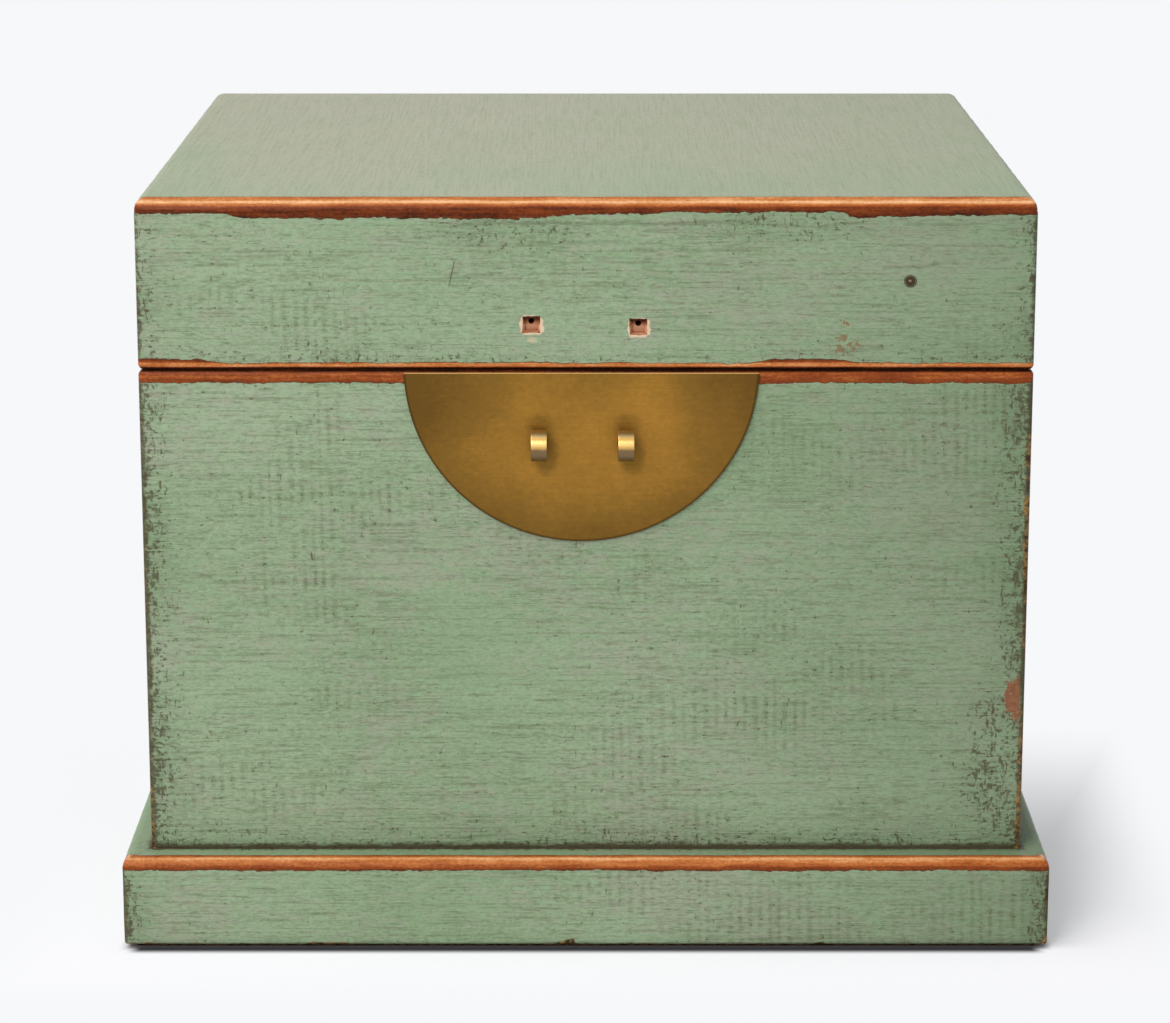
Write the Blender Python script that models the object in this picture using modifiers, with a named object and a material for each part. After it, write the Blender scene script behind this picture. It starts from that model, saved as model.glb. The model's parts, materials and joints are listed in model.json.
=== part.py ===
"""Painted wedding chest: a dovetailed box on a plinth, a hinged lid and a half-moon brass lock plate.

Metres, +Z up. The origin is on the floor under the middle of the plinth, and the front faces -Y.
"""

import math

import bmesh
import bpy
from mathutils import Matrix, Vector

# Driving dimensions

BODY_WIDTH = 0.600
BODY_DEPTH = 0.560
TOTAL_HEIGHT = 0.518
SEAM_HEIGHT = 0.4015
PLINTH_HEIGHT = 0.065
PLINTH_SIDE_OVERHANG = 0.018
PLINTH_FRONT_OVERHANG = 0.0235
PLATE_RADIUS = 0.119

# Boards and their joints

BODY_BOARD = 0.018
LID_BOARD = 0.017
LID_PANEL = 0.010
LID_PANEL_REBATE = 0.005
BOTTOM_PANEL = 0.012
BOTTOM_PANEL_Z = 0.079
GROOVE_DEPTH = 0.008
LAP = 0.005
TAIL_SHARE = 0.62
TAIL_SLOPE = 1 / 6
BODY_TAILS = 7
LID_TAILS = 3
PLINTH_RAIL = 0.046
PLINTH_REBATE = 0.008
FOOT_SET_BACK = 0.008
FOOT_HEIGHT = 0.003
CORNER_BLOCK = 0.040
BLOCK_LIFT = 0.004
LIP_THICKNESS = 0.006
LIP_RISE = 0.009
LIP_HEIGHT = 0.042
BATTEN_X = 0.150
BATTEN_WIDTH = 0.030
BATTEN_HEIGHT = 0.015
KEY_HEIGHT = 0.0035
KEY_WIDTH = 0.018
KEY_FLARE = 0.002

# Edges worn round

ARRIS_RADIUS = 0.003
RIM_RADIUS = 0.003
LID_NOSE_RADIUS = 0.008
PLINTH_NOSE_RADIUS = 0.007
PLINTH_FOOT_RADIUS = 0.0025
LIP_NOSE_RADIUS = 0.002

# Brass lock fittings

PLATE_THICKNESS = 0.0016
PLATE_EDGE = 0.0004
PLATE_X = -0.003
PLATE_TOP_DROP = 0.0015
PLATE_CENTRE_RISE = 0.003
STAPLE_MIDDLE_X = -0.0022
STAPLE_SPACING = 0.0584
STAPLE_DROP = 0.049
STRAP_WIDTH = 0.0107
STRAP_THICKNESS = 0.0017
EYE_RADIUS = 0.0106
CLINCH_LENGTH = 0.013
STAPLE_PLAY = 0.0004
HASP_HOLE_X = (-0.0365, 0.035)
HASP_HOLE_RISE = (0.031, 0.0295)
HASP_MORTISE = (0.0092, 0.0042, 0.0086)
HASP_BORE_RADIUS = 0.002
HASP_BORE_RISE = 0.0017

# Stop hinges

HINGE_X = 0.190
HINGE_LENGTH = 0.072
LEAF_WIDTH = 0.015
LEAF_THICKNESS = 0.004
KNUCKLE_RADIUS = 0.004
KNUCKLE_GAP = 0.0004
KNUCKLES = 5
STOP_LENGTH = 0.007
STOP_ANGLE = math.radians(50.5)
PIN_RADIUS = 0.0020
PIN_PLAY = 0.0001
SCREW_SPACING = 0.022
SCREW_HEAD_RADIUS = 0.0034
SCREW_SHANK_RADIUS = 0.0016
SCREW_LENGTH = 0.016
SCREW_SINK = 0.0004
SLOT_WIDTH = 0.0009
SLOT_DEPTH = 0.0009

# Fits: touching pieces keep GAP, and trimmed stock stands proud of its envelope by SPARE

GAP = 0.0003
SPARE = 0.002
MITRE_GAP = 0.0002
WELD = 0.00001
ROUND_STEPS = 24
NOSE_STEPS = 4
SMOOTH_UNDER = math.radians(35)

# Levels and faces that follow from the driving dimensions

HALF_WIDTH = BODY_WIDTH / 2
HALF_DEPTH = BODY_DEPTH / 2
INNER_X = HALF_WIDTH - BODY_BOARD
INNER_Y = HALF_DEPTH - BODY_BOARD
LID_INNER_X = HALF_WIDTH - LID_BOARD
LID_INNER_Y = HALF_DEPTH - LID_BOARD
PLINTH_X = HALF_WIDTH + PLINTH_SIDE_OVERHANG
PLINTH_Y = HALF_DEPTH + PLINTH_FRONT_OVERHANG
BODY_FOOT = PLINTH_HEIGHT - PLINTH_REBATE + GAP
BODY_RIM = SEAM_HEIGHT - GAP / 2
LID_RIM = SEAM_HEIGHT + GAP / 2
LID_FRAME_TOP = TOTAL_HEIGHT - LID_PANEL - GAP
LID_PANEL_UNDERSIDE = TOTAL_HEIGHT - LID_PANEL - LID_PANEL_REBATE
STAPLE_Z = SEAM_HEIGHT - STAPLE_DROP
STAPLE_X = [STAPLE_MIDDLE_X - STAPLE_SPACING / 2, STAPLE_MIDDLE_X + STAPLE_SPACING / 2]
HASP_HOLES = [(x, SEAM_HEIGHT + rise) for x, rise in zip(HASP_HOLE_X, HASP_HOLE_RISE)]
HINGE_Y = HALF_DEPTH + KNUCKLE_RADIUS
HINGE_AXIS = Vector((0, HINGE_Y, SEAM_HEIGHT))
BARREL_HALF = HINGE_LENGTH / 2 - STOP_LENGTH
SCREW_X = (-SCREW_SPACING, 0, SCREW_SPACING)
SCREW_Y = HALF_DEPTH - LEAF_WIDTH / 2 - SPARE

# How a flat outline's own x, y and thickness directions stand in the room
PLANES = {
    "yz": Matrix(((0, 0, 1, 0), (1, 0, 0, 0), (0, 1, 0, 0), (0, 0, 0, 1))),
    "xz": Matrix(((1, 0, 0, 0), (0, 0, -1, 0), (0, 1, 0, 0), (0, 0, 0, 1))),
    "xy": Matrix.Identity(4),
}


# Scene, collections and finishes


def clear_scene():
    for old in list(bpy.data.objects):
        bpy.data.objects.remove(old, do_unlink=True)


def new_collection(name):
    made = bpy.data.collections.new(name)
    bpy.context.scene.collection.children.link(made)
    return made


def new_finish(name, colour, roughness, metallic=0.0):
    made = bpy.data.materials.new(name)
    made.use_nodes = True
    shader = made.node_tree.nodes["Principled BSDF"]
    shader.inputs["Base Color"].default_value = (*colour, 1.0)
    shader.inputs["Roughness"].default_value = roughness
    shader.inputs["Metallic"].default_value = metallic
    return made


clear_scene()
CHEST = new_collection("wedding_chest")
CUTTERS = new_collection("cutters")
GREEN_LACQUER = new_finish("green_lacquer", (0.27, 0.37, 0.24), 0.45)
BARE_WOOD = new_finish("bare_wood", (0.36, 0.16, 0.06), 0.6)
BRASS = new_finish("aged_brass", (0.44, 0.27, 0.08), 0.35, 1.0)

lid_axis = bpy.data.objects.new("lid_axis", None)
lid_axis.location = HINGE_AXIS
CHEST.objects.link(lid_axis)


# Making and placing solids


def add_piece(name, mesh, centre, finish, parent=None):
    """One named part, with its origin at centre and its finish on it."""
    made = bpy.data.objects.new(name, mesh)
    CHEST.objects.link(made)
    made.location = centre
    if parent is not None:
        made.parent = parent
        made.location = Vector(centre) - parent.location
    if not mesh.materials:
        mesh.materials.append(finish)
    return made


def add_cutter(name, mesh, centre=(0, 0, 0)):
    made = bpy.data.objects.new(name, mesh)
    CUTTERS.objects.link(made)
    made.location = centre
    made.hide_render = True
    made.display_type = "WIRE"
    return made


def cut(piece, cutter, operation="DIFFERENCE"):
    modifier = piece.modifiers.new(cutter.name, "BOOLEAN")
    modifier.operation = operation
    modifier.object = cutter


def mesh_from(name, work):
    mesh = bpy.data.meshes.new(name)
    work.to_mesh(mesh)
    work.free()
    return mesh


def baked(source):
    """The object's mesh with its modifiers worked in, so that several parts can share it."""
    bpy.context.view_layer.update()
    graph = bpy.context.evaluated_depsgraph_get()
    mesh = bpy.data.meshes.new_from_object(source.evaluated_get(graph))
    bpy.data.objects.remove(source, do_unlink=True)
    return mesh


def smooth_rounds(mesh):
    mesh.shade_smooth()
    mesh.set_sharp_from_angle(angle=SMOOTH_UNDER)
    return mesh


def box_mesh(name, *spans):
    """One or more boxes, each a pair of opposite corners, in one mesh."""
    work = bmesh.new()
    for low, high in spans:
        low, high = Vector(low), Vector(high)
        place = Matrix.Translation((low + high) / 2) @ Matrix.Diagonal((*(high - low), 1))
        bmesh.ops.create_cube(work, size=1, matrix=place)
    return mesh_from(name, work)


def rod_mesh(name, radius, *spans, steps=ROUND_STEPS):
    """One or more straight rods along X, Y or Z, each given by its two end points."""
    work = bmesh.new()
    for start, end in spans:
        start, end = Vector(start), Vector(end)
        turn = (end - start).to_track_quat("Z", "Y").to_matrix().to_4x4()
        bmesh.ops.create_cone(
            work,
            cap_ends=True,
            segments=steps,
            radius1=radius,
            radius2=radius,
            depth=(end - start).length,
            matrix=Matrix.Translation((start + end) / 2) @ turn,
        )
    return mesh_from(name, work)


def outline_mesh(name, outlines, plane, low, high):
    """Flat outlines in the named plane, thickened from low to high across it, as one welded mesh."""
    curve = bpy.data.curves.new(name, "CURVE")
    curve.dimensions = "2D"
    curve.fill_mode = "BOTH"
    curve.extrude = (high - low) / 2
    for outline in outlines:
        spline = curve.splines.new("POLY")
        spline.points.add(len(outline) - 1)
        spline.use_cyclic_u = True
        for point, (across, up) in zip(spline.points, outline):
            point.co = (across, up, 0, 1)
    shape = bpy.data.objects.new(name, curve)
    CUTTERS.objects.link(shape)
    mesh = baked(shape)
    bpy.data.curves.remove(curve)
    work = bmesh.new()
    work.from_mesh(mesh)
    bpy.data.meshes.remove(mesh)
    bmesh.ops.remove_doubles(work, verts=work.verts, dist=WELD)
    bmesh.ops.recalc_face_normals(work, faces=work.faces)
    half_way = (low + high) / 2
    middle = {"yz": (half_way, 0, 0), "xz": (0, half_way, 0), "xy": (0, 0, half_way)}[plane]
    bmesh.ops.transform(work, matrix=Matrix.Translation(middle) @ PLANES[plane], verts=work.verts)
    return mesh_from(name, work)


def recentred(mesh):
    """Moves the mesh to its own middle and returns where that middle was."""
    corners = [vertex.co for vertex in mesh.vertices]
    low = Vector([min(c[axis] for c in corners) for axis in range(3)])
    high = Vector([max(c[axis] for c in corners) for axis in range(3)])
    middle = (low + high) / 2
    mesh.transform(Matrix.Translation(-middle))
    return middle


def add_solid(name, mesh, finish, parent=None):
    """A part from a mesh in room coordinates, with its origin moved to its own middle."""
    middle = recentred(mesh)
    return add_piece(name, mesh, middle, finish, parent)


def round_edges(piece, rounding):
    """Rounds edges of a boxy part. A key names the two sides that an edge lies on, such as -y+z."""
    mesh = piece.data
    low = [min(v.co[axis] for v in mesh.vertices) for axis in range(3)]
    high = [max(v.co[axis] for v in mesh.vertices) for axis in range(3)]
    widest = max(rounding.values())
    weights = mesh.attributes.new("bevel_weight_edge", "FLOAT", "EDGE")
    for edge in mesh.edges:
        ends = [mesh.vertices[index].co for index in edge.vertices]
        sides = ""
        for axis, letter in enumerate("xyz"):
            if all(abs(end[axis] - low[axis]) < WELD for end in ends):
                sides += "-" + letter
            elif all(abs(end[axis] - high[axis]) < WELD for end in ends):
                sides += "+" + letter
        weights.data[edge.index].value = rounding.get(sides, 0) / widest
    bevel = piece.modifiers.new("worn_edges", "BEVEL")
    bevel.limit_method = "WEIGHT"
    bevel.width = widest
    bevel.segments = NOSE_STEPS
    smooth_rounds(mesh)
    return piece


def add_envelope(name, low, high, rounding):
    """A rounded block that trims an assembly of boards to one outer shape."""
    mesh = box_mesh(name, (low, high))
    middle = recentred(mesh)
    return round_edges(add_cutter(name, mesh, middle), rounding)


def arc(centre, radius, start, end, steps):
    """Points along a circle from one angle to another, both included."""
    turns = [start + (end - start) * step / steps for step in range(steps + 1)]
    return [(centre[0] + radius * math.cos(turn), centre[1] + radius * math.sin(turn)) for turn in turns]


ALL_UPRIGHTS = {"-x-y": ARRIS_RADIUS, "+x-y": ARRIS_RADIUS, "-x+y": ARRIS_RADIUS, "+x+y": ARRIS_RADIUS}


def around(level, radius):
    """The four edges round the top (+z) or the bottom (-z) of a box, at one radius."""
    return {side + level: radius for side in ("-x", "+x", "-y", "+y")}


# Secret mitre dovetails: tails in the side boards and pins in the front and back ones, behind mitred laps


def mirrored(points, across):
    """A closed outline from half of it, mirrored across its first (0) or its second (1) coordinate."""
    flip = (-1, 1) if across == 0 else (1, -1)
    return points + [(first * flip[0], second * flip[1]) for first, second in reversed(points)]


def tail_rows(z_low, z_high, count):
    """Each tail's middle and half its width at the tip, from the bottom up."""
    pitch = (z_high - z_low) / count
    return [(z_low + (index + 0.5) * pitch, TAIL_SHARE * pitch / 2) for index in range(count)]


def tail_flanks(middle, at_tip, length, clearance=0.0):
    """A tail's lower and upper flank, each by its height at the shoulder and at the tip."""
    tip = at_tip + clearance
    shoulder = tip - length * TAIL_SLOPE
    return (middle - shoulder, middle - tip), (middle + shoulder, middle + tip)


def space_outlines(shoulder, tip, z_low, z_high, count):
    """The spaces for the pins, seen from the side: what is left between the tails at the back end."""
    flanks = [(z_low - SPARE, z_low - SPARE)]
    for middle, at_tip in tail_rows(z_low, z_high, count):
        flanks += tail_flanks(middle, at_tip, tip - shoulder)
    flanks.append((z_high + SPARE, z_high + SPARE))
    outlines = []
    for under, over in zip(flanks[0::2], flanks[1::2]):
        low = [(shoulder, under[0]), (tip, under[1]), (tip + SPARE, under[1])]
        outlines.append(low + [(tip + SPARE, over[1]), (tip, over[1]), (shoulder, over[0])])
    return outlines


def socket_outlines(inner, end, z_low, z_high, count):
    """The sockets that take the tails, seen from the side, at the back end."""
    mouth = inner - SPARE
    outlines = []
    for middle, at_tip in tail_rows(z_low, z_high, count):
        under, over = tail_flanks(middle, at_tip, end - mouth, GAP)
        outlines.append([(mouth, under[0]), (end, under[1]), (end, over[1]), (mouth, over[0])])
    return outlines


def both_ends(outlines):
    return outlines + [[(-across, up) for across, up in outline] for outline in outlines]


def dovetailed_frame(prefix, board, z_low, z_high, tails, envelope, parent=None):
    """Four boards joined at the corners and trimmed to the envelope, by the side that they stand on."""
    inner_x, inner_y = HALF_WIDTH - board, HALF_DEPTH - board
    lap_x, lap_y = HALF_WIDTH - LAP, HALF_DEPTH - LAP
    shoulder, tip, pin_end = inner_y - GAP, lap_y - GAP, lap_x - GAP
    proud_x, proud_y = HALF_WIDTH + SPARE, HALF_DEPTH + SPARE
    side_plan = mirrored([(proud_x, proud_y - MITRE_GAP), (lap_x, lap_y - MITRE_GAP), (inner_x, tip)], 1)
    end_plan = mirrored([(proud_x - MITRE_GAP, proud_y), (pin_end, tip + MITRE_GAP), (pin_end, inner_y)], 0)
    spaces = both_ends(space_outlines(shoulder, tip, z_low, z_high, tails))
    sockets = both_ends(socket_outlines(inner_y, lap_y, z_low, z_high, tails))
    boards = {}
    socket_cutters = []
    for side, sign in (("left", -1), ("right", 1)):
        plan = [(sign * x, y) for x, y in side_plan]
        mesh = outline_mesh(f"{prefix}{side}", [plan], "xy", z_low, z_high)
        boards[side] = add_solid(f"{prefix}{side}_board", mesh, GREEN_LACQUER, parent)
        low, high = sorted((sign * (inner_x - SPARE), sign * lap_x))
        mesh = outline_mesh("spaces", spaces, "yz", low, high)
        cut(boards[side], add_cutter(f"{prefix}{side}_spaces", mesh))
        low, high = sorted((sign * (inner_x - GAP), sign * (lap_x + SPARE)))
        mesh = outline_mesh("sockets", sockets, "yz", low, high)
        socket_cutters.append(add_cutter(f"{prefix}{side}_sockets", mesh))
    for side, sign in (("front", -1), ("back", 1)):
        plan = [(x, sign * y) for x, y in end_plan]
        mesh = outline_mesh(f"{prefix}{side}", [plan], "xy", z_low, z_high)
        boards[side] = add_solid(f"{prefix}{side}_board", mesh, GREEN_LACQUER, parent)
        for cutter in socket_cutters:
            cut(boards[side], cutter)
    for piece in boards.values():
        cut(piece, envelope, "INTERSECT")
    return boards


# Sliding-dovetail battens that keep the bottom and the lid panel flat


def key_half_width(level):
    """Half the width of a batten's key at a height above the panel's underside."""
    return KEY_WIDTH / 2 - KEY_FLARE * (KEY_HEIGHT - level) / KEY_HEIGHT


def at(x, z, outline):
    return [(x + across, z + up) for across, up in outline]


def batten_outline():
    """A batten seen from the end: a bar under the panel with a dovetail key on top."""
    bar = BATTEN_WIDTH / 2
    right = [(bar, -BATTEN_HEIGHT), (bar, -GAP), (key_half_width(-GAP), -GAP)]
    return mirrored(right + [(key_half_width(KEY_HEIGHT), KEY_HEIGHT)], 0)


def housing_outline():
    """The housing that a batten's key slides into, open at the panel's underside."""
    mouth, top = -SPARE, KEY_HEIGHT + GAP
    return mirrored([(key_half_width(mouth) + GAP, mouth), (key_half_width(top) + GAP, top)], 0)


def add_battens(prefix, panel, underside, reach, panel_end, parent=None):
    """Two battens across the panel, in housings that run out at its back end."""
    places = {"left": -BATTEN_X, "right": BATTEN_X}
    housings = [at(x, underside, housing_outline()) for x in places.values()]
    mesh = outline_mesh(f"{prefix}housings", housings, "xz", -reach - GAP, panel_end + SPARE)
    cut(panel, add_cutter(f"{prefix}batten_housings", mesh))
    for side, x in places.items():
        mesh = outline_mesh(f"{prefix}batten", [at(x, underside, batten_outline())], "xz", -reach, reach)
        add_solid(f"{prefix}batten_{side}", mesh, BARE_WOOD, parent)


# Plinth: four mitred rails with a rebate for the box and a set-back foot, and glue blocks in the corners


def add_plinth():
    low, high = (-PLINTH_X, -PLINTH_Y, 0), (PLINTH_X, PLINTH_Y, PLINTH_HEIGHT)
    rounding = {**ALL_UPRIGHTS, **around("+z", PLINTH_NOSE_RADIUS)}
    envelope = add_envelope("plinth_envelope", low, high, rounding)
    seat_low = (-HALF_WIDTH - GAP, -HALF_DEPTH - GAP, PLINTH_HEIGHT - PLINTH_REBATE)
    seat_high = (HALF_WIDTH + GAP, HALF_DEPTH + GAP, PLINTH_HEIGHT + SPARE)
    seat = add_cutter("body_seat", box_mesh("body_seat", (seat_low, seat_high)))
    cutters = [seat, foot_cutter("yz", PLINTH_Y, PLINTH_X), foot_cutter("xz", PLINTH_X, PLINTH_Y)]
    outer_x, outer_y = PLINTH_X + SPARE, PLINTH_Y + SPARE
    inner_x, inner_y = PLINTH_X - PLINTH_RAIL, PLINTH_Y - PLINTH_RAIL
    end_plan = mirrored([(outer_x - MITRE_GAP, outer_y), (inner_x - MITRE_GAP, inner_y)], 0)
    side_plan = mirrored([(outer_x, outer_y - MITRE_GAP), (inner_x, inner_y - MITRE_GAP)], 1)
    for side, sign in (("front", -1), ("back", 1)):
        add_rail(side, [(x, sign * y) for x, y in end_plan], envelope, cutters)
    for side, sign in (("left", -1), ("right", 1)):
        add_rail(side, [(sign * x, y) for x, y in side_plan], envelope, cutters)
    for end, toward_back in (("front", -1), ("back", 1)):
        for side, toward_right in (("left", -1), ("right", 1)):
            near_x, near_y = inner_x - GAP, inner_y - GAP
            triangle = [(near_x, near_y), (near_x - CORNER_BLOCK, near_y), (near_x, near_y - CORNER_BLOCK)]
            plan = [(toward_right * x, toward_back * y) for x, y in triangle]
            top = PLINTH_HEIGHT - PLINTH_REBATE - BLOCK_LIFT
            mesh = outline_mesh("block", [plan], "xy", BLOCK_LIFT, top)
            add_solid(f"plinth_block_{end}_{side}", mesh, BARE_WOOD)


def foot_cutter(plane, reach, half_length):
    """Sets the foot back on two opposite sides, and rounds the lower edge that overhangs it."""
    edge = (reach - PLINTH_FOOT_RADIUS, FOOT_HEIGHT + PLINTH_FOOT_RADIUS)
    outline = [(reach + SPARE, -SPARE), (reach - FOOT_SET_BACK, -SPARE), (reach - FOOT_SET_BACK, FOOT_HEIGHT)]
    outline += arc(edge, PLINTH_FOOT_RADIUS, -math.pi / 2, 0, NOSE_STEPS) + [(reach + SPARE, edge[1])]
    mesh = outline_mesh("foot", both_ends([outline]), plane, -half_length - SPARE, half_length + SPARE)
    return add_cutter(f"foot_{plane}", mesh)


def add_rail(side, outline, envelope, cutters):
    mesh = outline_mesh(f"rail_{side}", [outline], "xy", -SPARE, PLINTH_HEIGHT + SPARE)
    rail = add_solid(f"plinth_{side}_rail", mesh, GREEN_LACQUER)
    cut(rail, envelope, "INTERSECT")
    for cutter in cutters:
        cut(rail, cutter)


# Box: four boards, a bottom panel in grooves, and lips that locate the lid


def add_box():
    rounding = {**ALL_UPRIGHTS, **around("+z", RIM_RADIUS)}
    low = (-HALF_WIDTH, -HALF_DEPTH, BODY_FOOT - SPARE)
    envelope = add_envelope("body_envelope", low, (HALF_WIDTH, HALF_DEPTH, BODY_RIM), rounding)
    boards = dovetailed_frame("body_", BODY_BOARD, BODY_FOOT, BODY_RIM + SPARE, BODY_TAILS, envelope)
    add_bottom(boards)
    add_lips()
    return boards


def add_bottom(boards):
    reach_x, reach_y = INNER_X + GROOVE_DEPTH, INNER_Y + GROOVE_DEPTH
    top = BOTTOM_PANEL_Z + BOTTOM_PANEL
    groove_low = (-reach_x, -reach_y, BOTTOM_PANEL_Z - GAP)
    groove = add_cutter("bottom_groove", box_mesh("groove", (groove_low, (reach_x, reach_y, top + GAP))))
    for board in boards.values():
        cut(board, groove)
    panel_low = (-reach_x + GAP, -reach_y + GAP, BOTTOM_PANEL_Z)
    mesh = box_mesh("bottom_panel", (panel_low, (reach_x - GAP, reach_y - GAP, top)))
    panel = add_solid("bottom_panel", mesh, BARE_WOOD)
    add_battens("bottom_", panel, BOTTOM_PANEL_Z, INNER_Y - GAP, reach_y)


def add_lips():
    top = SEAM_HEIGHT + LIP_RISE
    low = top - LIP_HEIGHT
    face_x, face_y = INNER_X - GAP, INNER_Y - GAP
    between = face_y - LIP_THICKNESS - GAP
    spans = {
        "front": ("-y+z", (-face_x, -face_y), (face_x, -face_y + LIP_THICKNESS)),
        "back": ("+y+z", (-face_x, face_y - LIP_THICKNESS), (face_x, face_y)),
        "left": ("-x+z", (-face_x, -between), (-face_x + LIP_THICKNESS, between)),
        "right": ("+x+z", (face_x - LIP_THICKNESS, -between), (face_x, between)),
    }
    for side, (nose, near, far) in spans.items():
        mesh = box_mesh(f"lip_{side}", ((*near, low), (*far, top)))
        round_edges(add_solid(f"rim_lip_{side}", mesh, BARE_WOOD), {nose: LIP_NOSE_RADIUS})


# Lid: four boards under a rebated panel, and the two empty mortises of a hasp that is gone


def add_lid():
    rounding = {**ALL_UPRIGHTS, **around("-z", RIM_RADIUS)}
    high = (HALF_WIDTH, HALF_DEPTH, LID_FRAME_TOP + SPARE)
    envelope = add_envelope("lid_envelope", (-HALF_WIDTH, -HALF_DEPTH, LID_RIM), high, rounding)
    low = LID_RIM - SPARE
    boards = dovetailed_frame("lid_", LID_BOARD, low, LID_FRAME_TOP, LID_TAILS, envelope, lid_axis)
    add_lid_panel()
    cut_hasp_mortises(boards["front"])
    return boards


def add_lid_panel():
    low = (-HALF_WIDTH, -HALF_DEPTH, TOTAL_HEIGHT - LID_PANEL)
    mesh = box_mesh("lid_top", (low, (HALF_WIDTH, HALF_DEPTH, TOTAL_HEIGHT)))
    panel = add_solid("lid_top_panel", mesh, GREEN_LACQUER, lid_axis)
    round_edges(panel, {**ALL_UPRIGHTS, **around("+z", LID_NOSE_RADIUS)})
    reach_x, reach_y = LID_INNER_X - GAP, LID_INNER_Y - GAP
    core_top = TOTAL_HEIGHT - LID_PANEL / 2
    core = box_mesh("lid_core", ((-reach_x, -reach_y, LID_PANEL_UNDERSIDE), (reach_x, reach_y, core_top)))
    cut(panel, add_cutter("lid_panel_core", core), "UNION")
    add_battens("lid_", panel, LID_PANEL_UNDERSIDE, reach_y, reach_y, lid_axis)


def cut_hasp_mortises(board):
    wide, deep, tall = HASP_MORTISE
    face = -HALF_DEPTH
    spans = []
    bores = []
    for x, z in HASP_HOLES:
        low = (x - wide / 2, face - SPARE, z - tall / 2)
        spans.append((low, (x + wide / 2, face + deep, z + tall / 2)))
        bore_z = z + HASP_BORE_RISE
        bores.append(((x, face - SPARE, bore_z), (x, face + LID_BOARD + SPARE, bore_z)))
    cut(board, add_cutter("hasp_mortises", box_mesh("hasp_mortises", *spans)))
    bores = rod_mesh("hasp_bores", HASP_BORE_RADIUS, *bores, steps=ROUND_STEPS // 2)
    cut(board, add_cutter("hasp_bores", bores))


# Lock: a half-moon plate held by two split-strap staples clinched inside the front board


def add_lock(front_board):
    face = -HALF_DEPTH - GAP
    top = SEAM_HEIGHT - PLATE_TOP_DROP
    centre = (PLATE_X, top + PLATE_CENTRE_RISE)
    chord = math.asin(PLATE_CENTRE_RISE / PLATE_RADIUS)
    half_moon = arc(centre, PLATE_RADIUS, math.pi + chord, 2 * math.pi - chord, 3 * ROUND_STEPS)
    mesh = outline_mesh("lock_plate", [half_moon], "xz", face - PLATE_THICKNESS, face)
    plate = add_solid("lock_plate", mesh, BRASS)
    bevel = plate.modifiers.new("eased_edge", "BEVEL")
    bevel.width = PLATE_EDGE
    bevel.segments = 1
    tall = STRAP_THICKNESS + STAPLE_PLAY
    wide = STRAP_WIDTH / 2 + STAPLE_PLAY
    slots = []
    for x in STAPLE_X:
        low = (x - wide, face - PLATE_THICKNESS - SPARE, STAPLE_Z - tall)
        slots.append((low, (x + wide, -INNER_Y + SPARE, STAPLE_Z + tall)))
    slot = add_cutter("staple_slots", box_mesh("staple_slots", *slots))
    cut(plate, slot)
    cut(front_board, slot)
    for name, x in zip(("left", "right"), STAPLE_X):
        add_staple(f"lock_staple_{name}", x, face - PLATE_THICKNESS)


def add_staple(name, x, plate_face):
    """A strap bent into an eye, its two legs driven through the board and turned over inside, up and down."""
    outer, inner = EYE_RADIUS, EYE_RADIUS - STRAP_THICKNESS
    centre = (plate_face - math.sqrt(outer**2 - STRAP_THICKNESS**2), STAPLE_Z)
    neck = math.asin(STRAP_THICKNESS / outer)
    inside = -INNER_Y + GAP
    low, high = STAPLE_Z - STRAP_THICKNESS, STAPLE_Z + STRAP_THICKNESS
    outline = arc(centre, outer, neck, 2 * math.pi - neck, ROUND_STEPS)
    turned = inside + STRAP_THICKNESS
    outline += [(inside, low), (inside, low - CLINCH_LENGTH), (turned, low - CLINCH_LENGTH)]
    outline += [(turned, high + CLINCH_LENGTH), (inside, high + CLINCH_LENGTH), (inside, high)]
    eye = arc(centre, inner, 0, 2 * math.pi, ROUND_STEPS)[:-1]
    mesh = outline_mesh(name, [outline, eye], "yz", x - STRAP_WIDTH / 2, x + STRAP_WIDTH / 2)
    add_solid(name, smooth_rounds(mesh), BRASS)


# Hinges: brass stop butts let into the rims, whose bevelled tails meet when the lid is open


def knuckle_spans(own):
    """Where a leaf's knuckles run along the barrel: every second one, from the first or the second on."""
    pitch = 2 * BARREL_HALF / KNUCKLES
    spans = []
    for index in range(own, KNUCKLES, 2):
        start = index * pitch - BARREL_HALF
        spans.append((start + KNUCKLE_GAP / 2, start + pitch - KNUCKLE_GAP / 2))
    return spans


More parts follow.
